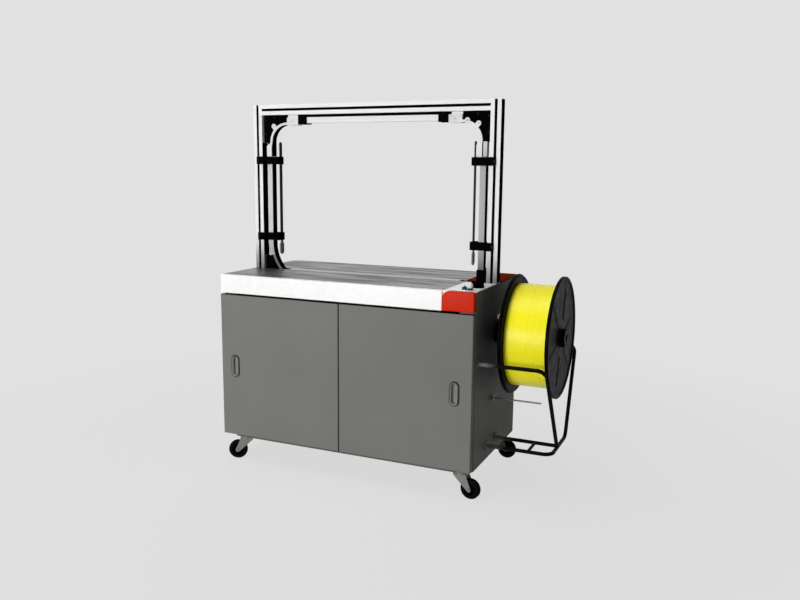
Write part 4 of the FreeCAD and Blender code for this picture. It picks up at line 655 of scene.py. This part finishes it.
# -------- arch
# Slotted aluminium profile, sawn to length and anodised, with black cover strips pressed
# into the slots that carry no bolts, and wide black strips on the uprights' sides that are
# painted shade for faces that fall dark.
SILVER, FOOT_SHADE_SILVER = (0.86, 0.845, 0.855), (0.25, 0.25, 0.255)
# Levels between which painted shade darkens the metal toward the table.
SHADE_FROM, SHADE_TO = 0.752, 0.905
ALONG_X, ALONG_Z = (160, 1, 1), (1, 1, 160)


def drawn_metal(name, along):
    """Anodised profile with the fine lines of its die."""
    return new_finish(name, SILVER, 0.38, gloss=(0.24, 0.40, 0.0008, along, 2.0),
                      grain=(0.00003, 0.4, 0.0008, along, 2.0), shine=0.08)


anodised = drawn_metal("anodised_profile", ALONG_Z)
fade_colour(anodised, "Z", SHADE_FROM, SHADE_TO, FOOT_SHADE_SILVER)
dress(anodised, "upright_left", "upright_right")
dress(drawn_metal("anodised_beam", ALONG_X), "arch_beam", "top_track")
cover_metal = new_finish(
    "satin_track_cover", (0.60, 0.60, 0.62), 0.40, tint=((0.56, 0.56, 0.57), (0.68, 0.68, 0.69), 0.10),
    grain=(0.00003, 0.4, 0.0008, ALONG_Z), shine=0.08,
)
# Painted shade: the cover darkens toward the table like the uprights.
fade_colour(cover_metal, "Z", SHADE_FROM, SHADE_TO, (0.30, 0.30, 0.30))


def pressed_strip(start, end, outward, width, depth):
    """A cover strip: a shallow M section (crowned lips, sunk middle) swept from start to end."""
    start, end, outward = (np.array(part, float) for part in (start, end, outward))
    side = np.cross((end - start) / np.linalg.norm(end - start), outward)
    half = width / 2
    section = np.array([
        (-half, -depth), (-half, -0.0002), (-half * 0.8, 0.0), (-half * 0.45, -0.0003), (0.0, -0.0005),
        (half * 0.45, -0.0003), (half * 0.8, 0.0), (half, -0.0002), (half, -depth),
    ])
    ring = section[:, :1] * side + section[:, 1:] * outward
    return capped([start + ring, end + ring])


SLOT_WIDTH, SLOT_SINK, SLOT_DEPTH = 0.0076, 0.0011, 0.0022
LIPPED_WIDTH, LIP_PROUD = 0.0102, 0.0005
SHADE_STRIP_WIDTH, SHADE_STRIP_PROUD = 0.037, 0.0009
FOOT_SAWN, HEAD_SAWN = 0.0015, 0.0006
gusset_low, gusset_high = corners("corner_gussets")
# Foot and head of a wide painted-shade strip, first on an upright's outer side and then on its inner
# side.
shade_strip_foot = (table_top + 0.004, table_top + 0.056)
shade_strip_head = (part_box("upright_right")[1][2] - HEAD_SAWN, gusset_low[2] - 0.001)


def slot_strip(middle, half, outward, start, end, lipped):
    """A strip in the slot on one side of a profile, from start to end along it."""
    line = middle + np.array(outward, float) * (half + (LIP_PROUD if lipped else -SLOT_SINK))
    return pressed_strip(line + start, line + end, outward, LIPPED_WIDTH if lipped else SLOT_WIDTH,
                         LIP_PROUD if lipped else SLOT_DEPTH)


strips = []
for upright, inner in (("upright_left", 1.0), ("upright_right", -1.0)):
    low, high = corners(upright)
    middle = 0.5 * (low + high) * (1, 1, 0)
    half = 0.5 * (high[0] - low[0])
    foot, head = (0, 0, low[2] + FOOT_SAWN), (0, 0, high[2] - HEAD_SAWN)
    for outward in (FRONT, BACK, (-inner, 0, 0)):
        strips.append(slot_strip(middle, half, outward, foot, head, outward[0] == 0))
    # Wide black strips over the side faces: painted shade where these faces fall dark.
    for hand in (1, -1):
        line = middle + (hand * (half + SHADE_STRIP_PROUD), 0, 0)
        if line[0] > cad_box[0][0]:
            ends = [line + (0, 0, level[hand == inner]) for level in (shade_strip_foot, shade_strip_head)]
            strips.append(pressed_strip(*ends, (hand, 0, 0), SHADE_STRIP_WIDTH, SHADE_STRIP_PROUD - 0.0001))
beam_low, beam_high = corners("arch_beam")
beam_middle = 0.5 * (beam_low + beam_high) * (0, 1, 1)
beam_half = 0.5 * (beam_high[2] - beam_low[2])
beam_start, beam_end = (beam_low[0] + HEAD_SAWN, 0, 0), (beam_high[0] - HEAD_SAWN, 0, 0)
for outward in (FRONT, BACK, UP):
    strips.append(slot_strip(beam_middle, beam_half, outward, beam_start, beam_end, outward[2] == 0))
build_piece("slot_cover_strips", together(*strips), black_plastic)

# -------- strap track
# Black folded channels with a light cover strip, white nylon bends, and black clamps and
# gussets, held to the profile by socket screws.
black_satin = new_finish(
    "black_satin_paint", (0.0025, 0.0022, 0.0024), 0.50, gloss=(0.32, 0.46, 0.02),
    grain=(0.00004, 0.4, 0.0022, EVEN, 1.0), shine=0.0,
)
dress(black_satin, "side_track_left", "side_track_right", "corner_gussets")
dress(black_plastic, "track_hangers", "track_clamps")
GRIP_GREY, RAIL_BLACK = (0.27, 0.27, 0.27), (0.0025, 0.0025, 0.0025)
GRIP_FROM, GRIP_TO = 0.868, 0.872
rail_finish = new_finish("black_rail_grey_grip", (0.003, 0.003, 0.003), 0.45,
                         grain=(0.00003, 0.4, 0.001), shine=0.05)
fade_colour(rail_finish, "Z", GRIP_FROM, GRIP_TO, GRIP_GREY, RAIL_BLACK)
dress(rail_finish, "inner_rails")
nylon = new_finish(
    "white_nylon", (0.76, 0.76, 0.75), 0.34, tint=((0.70, 0.70, 0.67), (0.78, 0.78, 0.77), 0.03),
    gloss=(0.28, 0.42, 0.004), grain=(0.00003, 0.4, 0.0012), Subsurface_Weight=0.08,
    Subsurface_Radius=(0.004, 0.004, 0.003), shine=0.2,
)
nylon_screw = moulded("nylon_screw_plastic", (0.60, 0.60, 0.58), 0.36)

CLAMP_LEVELS = (0.885, 1.195)
HANGER_PLACES, HANGER_LEVEL = (-0.430, 0.170), 1.3705
# Screws in a gusset: how far each lies from the gusset's outer edge, and its level.
GUSSET_SCREWS = ((0.010, 1.300), (0.010, 1.358), (0.052, 1.366))
up_low, up_high = corners("upright_right")
left_low, left_high = corners("upright_left")
clamp_face = corners("track_clamps")[0][1] + 0.0002
upright_middles = (0.5 * (up_low[0] + up_high[0]), 0.5 * (left_low[0] + left_high[0]))
clamp_screws = [(x, clamp_face, z) for x in upright_middles for z in CLAMP_LEVELS]
gusset_screws = [
    (edge + hand * inset, gusset_low[1], z)
    for edge, hand in ((gusset_low[0], 1), (gusset_high[0], -1)) for inset, z in GUSSET_SCREWS
]
hanger_screws = [(x, corners("track_hangers")[0][1], HANGER_LEVEL) for x in HANGER_PLACES]
build_piece(
    "track_screws",
    together(
        set_down(socket_screw(0.0052, 0.0011), clamp_screws, FRONT),
        set_down(socket_screw(0.0042, 0.0026), gusset_screws, FRONT),
        set_down(socket_screw(0.0030, 0.0012), hanger_screws, FRONT),
    ),
    black_oxide,
)


def carried(path, outward, near, far, front, back):
    """A strip carried along a path in the XZ plane: at each station its section runs from near
    to far along the outward direction and from front to back along Y."""
    edges = []
    for out, depth in ((near, front), (far, front), (far, back), (near, back)):
        place = path + outward * np.broadcast_to(out, len(path))[:, None]
        edges.append(np.insert(place, 1, depth, axis=1))
    return capped(np.stack(edges, axis=1))


def ear_reach(angle, middle, radius, distance):
    """How far a round ear reaches out from the bend's centre along an angle: the far root of
    the circle of the given radius whose middle lies at the distance."""
    swing = angle - math.radians(middle)
    beyond = radius ** 2 - (distance * np.sin(swing)) ** 2
    out = distance * np.cos(swing) + np.sqrt(np.clip(beyond, 0, None))
    return np.where((beyond > 0) & (np.abs(swing) < 0.6), out, 0.0)


def rays(angle, hand=1.0):
    """Unit directions in the XZ plane at the given angles, mirrored where hand is -1."""
    return np.stack([hand * np.cos(angle), np.sin(angle)], axis=1)


arch_middle = 0.5 * (left_low[0] + up_high[0])
guide_low, guide_high = corners("corner_guide_right")
guide_front, guide_back = guide_low[1], guide_high[1]
GUIDE_PLATE = 0.0036
BEND_REACH, BEND_DROP = 0.376, 0.0985
BEND_INNER, BEND_OUTER = 0.068, 0.077
GUSSET_BITE, BITE_REACH, BITE_DROP = 0.0957, 0.3725, 0.0963  # round cut in the gusset
BLOCK_NEAR, BLOCK_FAR, BLOCK_START, BLOCK_SCREW = 0.066, 0.0965, 0.0025, 0.081
TAIL_STEPS, SEAM = (-0.0160, -0.0020), 0.0001
bend_level = guide_high[2] - BEND_DROP
tail_foot = guide_low[2] + 0.0006
quarter = np.radians(np.linspace(0, 90, 91))
# Each corner: its hand, the ears' angles, distances and radii, the tail's near and far reach,
# and the block's end.
CORNERS = {
    "left": (-1.0, ((46.0, 0.087, 0.010),), (0.0722, 0.0945), 0.0545),
    "right": (1.0, ((46.0, 0.087, 0.010), (77.0, 0.077, 0.010)), (0.054, 0.076), 0.0550),
}
for side, (hand, ears, tail, block_end) in CORNERS.items():
    centre = np.array([arch_middle + hand * BEND_REACH, bend_level])
    outer = np.full(len(quarter), BEND_OUTER)
    for middle, distance, radius in ears:
        outer = np.maximum(outer, ear_reach(quarter, middle, radius, distance))
    # Three stations down the tail, the bend's own, and three along the block.
    path = np.zeros((len(quarter) + 6, 2))
    path[:3, 1] = (tail_foot - bend_level, *TAIL_STEPS)
    path[-3:, 0] = -hand * np.array([BLOCK_START, BLOCK_START + SEAM, block_end])
    path += centre
    outward = np.concatenate([[[hand, 0.0]] * 3, rays(quarter, hand), [[0.0, 1.0]] * 3])
    near = np.full(len(path), BEND_INNER)
    near[:2], near[-2:] = tail[0], BLOCK_NEAR
    far = np.pad(outer, 3, constant_values=BEND_OUTER)
    far[:2], far[-2:] = tail[1], BLOCK_FAR
    plate_back = np.full(len(path), guide_front + GUIDE_PLATE)
    plate_back[-2:] = guide_back
    guide_piece = build_piece(
        "corner_guide_face_" + side, carried(path, outward, near, far, guide_front, plate_back),
        nylon,
    )
    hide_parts("corner_guide_" + side)
    behind = [0, *range(3, len(path) - 3)]
    bite = np.array([arch_middle + hand * BITE_REACH, guide_high[2] - BITE_DROP]) - centre
    along_out = outward[behind] @ bite
    channel_far = along_out + np.sqrt(GUSSET_BITE ** 2 - bite @ bite + along_out ** 2)
    channel = carried(path[behind], outward[behind], BEND_INNER + 2 * SEAM, channel_far,
                      guide_front + GUIDE_PLATE + SEAM, guide_back)
    build_piece("corner_channel_" + side, channel, black_satin)
    screws = [centre + distance * rays(np.radians([middle]), hand)[0] for middle, distance, _ in ears]
    screws.append(centre + (-hand * 0.5 * (BLOCK_START + block_end), BLOCK_SCREW))
    build_piece(
        "guide_screws_" + side,
        set_down(socket_screw(0.0036, 0.0011), np.insert(screws, 1, guide_front, axis=1), FRONT),
        nylon_screw,
    )


def rounded_block(low, high, radius, across=24, down=13):
    """A block with rounded edges: a sphere's grid of directions pushed out to the corners,
    centre + (half - radius) * sign(n) + radius * n."""
    low, high = np.array(low, float), np.array(high, float)
    theta = np.linspace(0, np.pi, down)[:, None]
    phi = full_turn(across) + 1e-4
    direction = np.stack([
        np.sin(theta) * np.cos(phi), np.sin(theta) * np.sin(phi),
        np.repeat(np.cos(theta), across, axis=1),
    ], axis=2)
    sign = np.sign(direction)
    sign[..., 2] = np.where(np.arange(down) < down / 2, 1.0, -1.0)[:, None]
    return capped(0.5 * (low + high) + (0.5 * (high - low) - radius) * sign + radius * direction)


LOWER_BEND, TURN_RISE = 0.172, 0.104
BEND_COVERED, LINER_START, LINER_DEPTH = 17, 78, 0.42
track_low, track_high = corners("side_track_right")
left_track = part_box("side_track_left")[0][0]
track_depth = track_high[0] - track_low[0]
cover_low, cover_high = corners("track_covers")
turn_start = table_top + TURN_RISE
turn_centre = np.array([left_track + LOWER_BEND, turn_start])
cover_path = turn_centre + np.append(np.zeros((18, 2)), [[0.0, track_high[2] - turn_start]], axis=0)
cover_out = np.append(-rays(np.radians(np.linspace(BEND_COVERED, 0, 18))), [[-1.0, 0.0]], axis=0)
bend_steel = bright_steel("bend_liner_steel", (0.10, 0.10, 0.095), 0.42)
liner_out = -rays(np.radians(np.linspace(LINER_START, BEND_COVERED, 40)))
build_piece(
    "left_bend_liner",
    carried(np.tile(turn_centre, (40, 1)), liner_out, LOWER_BEND - track_depth,
            LOWER_BEND - (1 - LINER_DEPTH) * track_depth, cover_low[1], cover_high[1]),
    bend_steel,
)
left_cover = build_piece(
    "left_track_cover",
    carried(cover_path, cover_out, LOWER_BEND - track_depth, LOWER_BEND, cover_low[1], cover_high[1]),
    cover_metal,
)
# The right cover is a darker copy of the left cover's metal: painted shade. Toward the table it goes
# darker still, also painted shade.
shaded_track_cover = new_finish(
    "dull_track_cover", (0.42, 0.42, 0.43), 0.42,
    tint=((0.40, 0.40, 0.41), (0.49, 0.49, 0.50), 0.008, (1, 1, 40)),
    grain=(0.00003, 0.4, 0.0008, ALONG_Z), shine=0.08,
)
fade_colour(shaded_track_cover, "Z", SHADE_FROM, SHADE_TO, (0.045, 0.045, 0.05))
right_path = np.array([[track_high[0], table_top + 0.0002], [track_high[0], track_high[2]]])
build_piece(
    "right_track_cover",
    carried(right_path, np.tile([-1.0, 0.0], (2, 1)), 0.0, track_depth, cover_low[1], cover_high[1]),
    shaded_track_cover,
)
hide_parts("track_covers")
build_piece(
    "tail_cheek",
    rounded_block((track_high[0] - 0.012, guide_front, tail_foot + 0.001),
                  (track_high[0] + 0.0035, guide_front + 0.0034, bend_level - 0.002), 0.001),
    cover_metal,
)
SLEEVE_RISE, SLEEVE_PROUD, SLEEVE_PLAY = 0.046, 0.0034, 0.0003
sleeve_left, sleeve_foot = track_low[0] - SLEEVE_PROUD, table_top + SEAM
sleeve_top = table_top + SLEEVE_RISE
build_piece(
    "track_foot_sleeve",
    together(
        rounded_block((sleeve_left, guide_front - 0.0042, sleeve_foot),
                      (up_low[0] - SLEEVE_PLAY, guide_front - 0.0004, sleeve_top), 0.0012),
        rounded_block((sleeve_left, guide_front - SLEEVE_PLAY, sleeve_foot),
                      (track_low[0] - SLEEVE_PLAY, guide_back, sleeve_top), 0.0008),
    ),
    black_satin,
)

# -------- strap coil
# A coil of 12 mm polypropylene strap, wound side by side in lanes that climb across the
# width as they go round, so that the last layer ends part of the way across.
STRAP_USED = 0.0105
CORE_RADIUS = 0.1007
LANE, STRAP_THICK = 0.01275, 0.0006
LAST_LANE = 7
GROOVE_DEPTH, GROOVE_WIDTH = 0.00006, 0.0007
SIDE_SINK, EDGE_WAVE, EDGE_RATE = 0.0003, 0.00025, 150
coil_low, coil_high = corners("strap_coil")
coil_y, coil_z = (0.5 * (coil_low + coil_high))[1:]
coil_radius = 0.5 * (coil_high[2] - coil_low[2]) - STRAP_USED
around = full_turn(288)
coil_x = np.linspace(coil_low[0] + 0.0002, coil_high[0] - 0.0002, 145)[:, None]
lane_place = (coil_x - coil_low[0]) / LANE - around / (2 * np.pi)
lane_number = np.floor(lane_place)
across_lane = lane_place - lane_number
edge_gap = np.minimum(across_lane, 1 - across_lane) * LANE
groove = GROOVE_DEPTH * np.exp(-((edge_gap / GROOVE_WIDTH) ** 2))
lane_ride = 0.00003 * np.sin(lane_number * 2.4 + 0.8) + 0.00006 * np.sin(2 * around + lane_number)
last_layer = np.where(lane_number < LAST_LANE, 0.0, 0.3 * STRAP_THICK)
surface = coil_radius - STRAP_THICK - groove - last_layer + lane_ride
side_rows = np.linspace(1, 0, 24)[1:, None]
side_wave = EDGE_WAVE * np.sin(side_rows * EDGE_RATE)
right_side = CORE_RADIUS + (surface[-1] - CORE_RADIUS) * side_rows
left_side = CORE_RADIUS + (surface[0] - CORE_RADIUS) * side_rows[::-1]
radii = np.concatenate([surface, right_side, left_side])
widths = np.concatenate([
    coil_x, coil_high[0] - SIDE_SINK + side_wave, coil_low[0] + SIDE_SINK + side_wave[::-1]])


def round_reel(x, radii, angle):
    """Points round the reel's axis: x stays, y and z are the radius times cos and sin."""
    return swung(radii, x, angle)[:, [2, 0, 1]] + (0, coil_y, coil_z)


strap_yellow = new_finish(
    "yellow_strap", (0.99, 0.86, 0.02), 0.36, gloss=(0.24, 0.38, 0.02),
    tint=((1.0, 0.88, 0.010), (1.0, 0.96, 0.018), 0.004, (1, 60, 60), 2.0), shine=0.2,
)
tree, shader = inside(strap_yellow)
place = add(tree, "ShaderNodeTexCoord").outputs["Object"]
emboss = add(tree, "ShaderNodeTexVoronoi", {"Vector": place, "Scale": 620.0})
raised(tree, shader, emboss.outputs["Distance"], 0.00010, 0.5)
coil_shape = round_reel(widths, radii, around), ring_faces(len(widths), len(around), True)
coil_piece = build_piece("wound_strap", coil_shape, strap_yellow, "reel", 50.0)
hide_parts("strap_coil")

# -------- reel flanges
# Pressed steel discs with a rolled rim and six shallow ribs, in black enamel. The outer
# one lifts off when the lobed knob is unscrewed.
enamel = new_finish(
    "black_enamel", (0.0028, 0.0028, 0.0032), 0.45, gloss=(0.28, 0.44, 0.03),
    grain=(0.00005, 0.4, 0.0035, EVEN, 1.0), shine=0.012,
)
dress(enamel, "inner_flange", "lock_knob", "reel_bracket")
ROLLED_RIM = 0.006
FLANGE_PLATE, HUB_BORE, HUB_FACE = 0.0080, 0.0212, 0.0128
RIBS, RIB_HEIGHT, RIB_WIDTH, RIB_FADE = 6, 0.0026, 0.0075, 0.016
RIB_FROM, RIB_TO = 0.058, 0.188
out_low, out_high = corners("outer_flange")
rim_radius = 0.5 * (out_high[2] - out_low[2]) + ROLLED_RIM
radius_steps = np.concatenate([
    [HUB_BORE, HUB_BORE, 0.034, 0.040], np.linspace(0.046, 0.190, 30),
    rim_radius - np.array([0.0165, 0.0118, 0.0095, 0.0065, 0.0025, 0.0, 0.0, 0.0025]),
    [0.12, HUB_BORE],
])
face_level = np.concatenate([
    [0.002, HUB_FACE, HUB_FACE, FLANGE_PLATE + 0.0006], np.full(30, FLANGE_PLATE),
    [FLANGE_PLATE, FLANGE_PLATE + 0.0008, FLANGE_PLATE + 0.0034, HUB_FACE, HUB_FACE + SEAM],
    [0.0110, 0.0016, 0.0, 0.0, 0.0],
])
front_rows = np.arange(len(radius_steps)) < 38
around = full_turn(360)
rib_window = np.clip((radius_steps - RIB_FROM) / RIB_FADE, 0, 1)
rib_window *= np.clip((RIB_TO - radius_steps) / RIB_FADE, 0, 1) * front_rows
fold = (around * RIBS / (2 * np.pi) + 0.25) % 1.0 - 0.5
rib_across = np.abs(fold) * 2 * np.pi / RIBS * radius_steps[:, None]
rib = RIB_HEIGHT * rib_window[:, None] * np.clip(1.6 - rib_across / RIB_WIDTH, 0, 1)
flange_points = round_reel(out_low[0] + face_level[:, None] + rib, radius_steps[:, None], around)
flange_piece = build_piece(
    "outer_flange_pressing", (flange_points, ring_faces(len(radius_steps), len(around), True)),
    enamel, "reel", 40.0,
)
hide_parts("outer_flange")
roll = np.linspace(0, 2 * np.pi, 17)
roll_profile = np.stack([
    rim_radius - 0.0050 + 0.0050 * np.cos(roll), 0.0048 + 0.0046 * np.sin(roll)], axis=1)
roll_place = (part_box("inner_flange")[0][0], coil_y, coil_z)
build_piece("inner_flange_roll", set_down(turned(roll_profile, 240), roll_place, RIGHT), enamel,
            "reel", 40.0)
end_cap = turned([(0.0, 0.0), (0.0145, 0.0), (0.0147, 0.0022), (0.0135, 0.0036), (0.0090, 0.0046),
                  (0.0, 0.0050)], 40)
end_cap_place = (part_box("lock_knob")[1][0] - 0.0055, coil_y, coil_z)
build_piece("shaft_end_cap", set_down(end_cap, end_cap_place, RIGHT), black_plastic)
BOLT_CIRCLE, BOLT_SEAT = 0.0325, 0.0118
bolt_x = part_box("reel_bracket")[0][0] + BOLT_SEAT
bolt_places = round_reel(bolt_x, np.full((1, 4), BOLT_CIRCLE), np.radians([45, 135, 225, 315]))
build_piece("bracket_bolts", set_down(hex_nut(0.0062, 0.0045), bolt_places, RIGHT), zinc)

eyelet_bronze = new_finish(
    "polished_pale_bronze", (0.80, 0.73, 0.62), 0.25, 1.0, grain=(0.00003, 0.4, 0.001),
    tint=((0.72, 0.66, 0.55), (0.84, 0.78, 0.67), 0.01),
)
EYELET_NOSE, EYELET_WALL = 0.0040, 0.0081
inlet_low, inlet_high = corners("strap_inlet")
inlet_length, inlet_radius = inlet_high[0] - inlet_low[0], 0.5 * (inlet_high[2] - inlet_low[2])
nose = np.radians(np.linspace(0, 180, 15))
nose_profile = np.stack([
    inlet_radius - EYELET_NOSE + EYELET_NOSE * np.cos(nose),
    inlet_length - EYELET_NOSE - 0.0002 + EYELET_NOSE * np.sin(nose),
], axis=1)
inlet_bore = inlet_radius - EYELET_WALL
eyelet = turned([(inlet_bore, 0.0), (inlet_radius - 0.0002, 0.0), *nose_profile,
                 (inlet_bore, 0.004), (inlet_bore, 0.0)], 48)
eyelet_place = (inlet_low[0], *(0.5 * (inlet_low + inlet_high))[1:])
inlet = build_piece("strap_eyelet", set_down(eyelet, eyelet_place, RIGHT), eyelet_bronze)
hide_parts("strap_inlet")
dress(bright_steel("dull_rod_steel", (0.15, 0.15, 0.155), 0.36), "strap_guide_rod")

# -------- reel guard
# Round steel bar, bent cold, welded where the bars cross and coated black, on small round
# feet that are screwed to the side panel.
SHEEN_GREY, GUARD_BLACK = (0.21, 0.21, 0.20), (0.0025, 0.0025, 0.003)
SHEEN_FROM, SHEEN_TO = 0.402, 0.475
guard_coat = new_finish(
    "guard_powder_coat", (0.006, 0.006, 0.0065), 0.45, gloss=(0.38, 0.52, 0.05),
    grain=(0.00006, 0.5, 0.0016, EVEN, 1.0), shine=0.03,
)
# Painted highlight: the coat goes from grey at the wall end to black further out, a sheen painted
# along the bars.
fade_colour(guard_coat, "X", SHEEN_FROM, SHEEN_TO, SHEEN_GREY, GUARD_BLACK)
dress(guard_coat, "guard_rear_tube", "guard_front_tube", "guard_low_bar")
FOOT_PLACES = ((0.248, 0.492), (-0.232, 0.492), (-0.102, 0.152), (0.007, 0.152))
FOOT_THICK, SCREW_SPREAD = 0.004, 0.0120
foot_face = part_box("side_panel_right")[1][0] + FOOT_THICK
foot_screws = [(foot_face, y + dy, z) for y, z in FOOT_PLACES for dy in (-SCREW_SPREAD, SCREW_SPREAD)]
build_piece("guard_foot_screws", set_down(socket_screw(0.0026, 0.0020, 12), foot_screws, RIGHT),
            guard_coat)

# -------- casters
# Pressed zinc forks with a double ball race, on a threaded stem, and black rubber tyres
# pressed onto black discs that turn on a bolt with a nut at each end.
fork_zinc = bright_steel("dull_fork_zinc", (0.20, 0.195, 0.18), 0.46)
dress(fork_zinc, "caster_fork_front_left", "caster_fork_front_right")
# The rear forks, with their nuts and ball races, take a near-black copy of the fork steel: painted
# shade under the cabinet.
shaded_fork = bright_steel("dark_fork_steel", (0.035, 0.033, 0.031), 0.5)
dress(shaded_fork, "caster_fork_rear_left", "caster_fork_rear_right")
rubber = new_finish(
    "tyre_rubber", (0.003, 0.003, 0.003), 0.62, gloss=(0.52, 0.72, 0.005),
    tint=((0.002, 0.002, 0.002), (0.005, 0.005, 0.0048), 0.02), grain=(0.00008, 0.6, 0.0012),
    shine=0.02,
)
WHEEL_RADIUS, HALF_WIDTH = 0.0374, 0.0119
RACE_LEVEL, NUT_SEAT = 0.0990, 0.0152
SPOKES = 5
half_tyre = np.array([
    (WHEEL_RADIUS, 0.0026), (0.0362, 0.0030), (0.0362, 0.0042), (WHEEL_RADIUS, 0.0046),
    (0.0372, 0.0060), (0.0360, 0.0088), (0.0335, 0.0110), (0.0300, HALF_WIDTH), (0.0232, HALF_WIDTH),
])
far_half = half_tyre[::-1] * (1, -1)
tyre = turned(np.concatenate([far_half, half_tyre, [(0.0228, 0.0)], far_half[:1]]), 72)
half_disc = np.array([
    (0.0042, -1.0), (0.0098, -1.0), (0.0102, -0.9), (0.0120, -0.58), (0.0200, -0.58), (0.0216, -0.9),
    (0.0230, -0.96),
])
disc_radius, disc_level = np.concatenate([half_disc, half_disc[::-1] * (1, -1)]).T
around = full_turn(120)
spoke = np.clip(1.5 * np.cos(SPOKES * around) - 0.6, 0, 1)
web = ((disc_radius > 0.0115) & (disc_radius < 0.0205))[:, None]
disc_levels = HALF_WIDTH * disc_level[:, None] * (1 + 0.35 * web * spoke)
disc = (swung(disc_radius[:, None], disc_levels, around),
        ring_faces(len(disc_radius), len(around), True))
axle_nut = hex_nut(0.0066, 0.0030, 0.0038)
ball_race = turned([(0.0, 0.0), (0.0245, 0.0), (0.0262, -0.0016), (0.0262, -0.0034),
                    (0.0245, -0.0046), (0.0215, -0.0052), (0.0, -0.0052)], 48)
for joint in frame["joints"]:
    if not joint["name"].startswith("wheel_roll_"):
        continue
    corner = joint["name"][len("wheel_roll_"):]
    axle, centre = np.array(joint["axis"], float), np.array(joint["pos_m"], float)
    tyre_piece = build_piece("tyre_" + corner, set_down(tyre, centre, axle), rubber,
                             "wheel_" + corner, 28.0)
    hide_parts("caster_wheel_" + corner)
    build_piece("wheel_disc_" + corner, set_down(disc, centre, axle), black_plastic,
                "wheel_" + corner)
    nuts = [set_down(axle_nut, centre + end * NUT_SEAT, end) for end in (axle, -axle)]
    build_piece(
        "axle_nuts_" + corner, together(*nuts, set_down(ball_race, (*stems[corner], RACE_LEVEL))),
        fork_zinc if corner.startswith("front") else shaded_fork, "fork_" + corner,
    )

# -------- works inside the cabinet
# The sealing head with its cam case, the geared motor with a finned barrel, the feed
# plate with its two rollers, the sheet strap magazine and the enamelled electric box.
dress(bright_steel("machined_steel", (0.46, 0.47, 0.48), 0.36), "sealing_head", "feed_unit")
dress(zinc, "strap_magazine")
dress(rubber, "pinch_roller")
dress(moulded("grey_moulded_plastic", (0.24, 0.25, 0.26), 0.42), "feed_roller")
dress(powder_coat("motor_blue_grey", (0.085, 0.105, 0.120), 0.12, 0.40), "gear_motor")
dress(gloss_paint("electric_box_enamel", (0.52, 0.53, 0.52), 0.34), "electric_box")
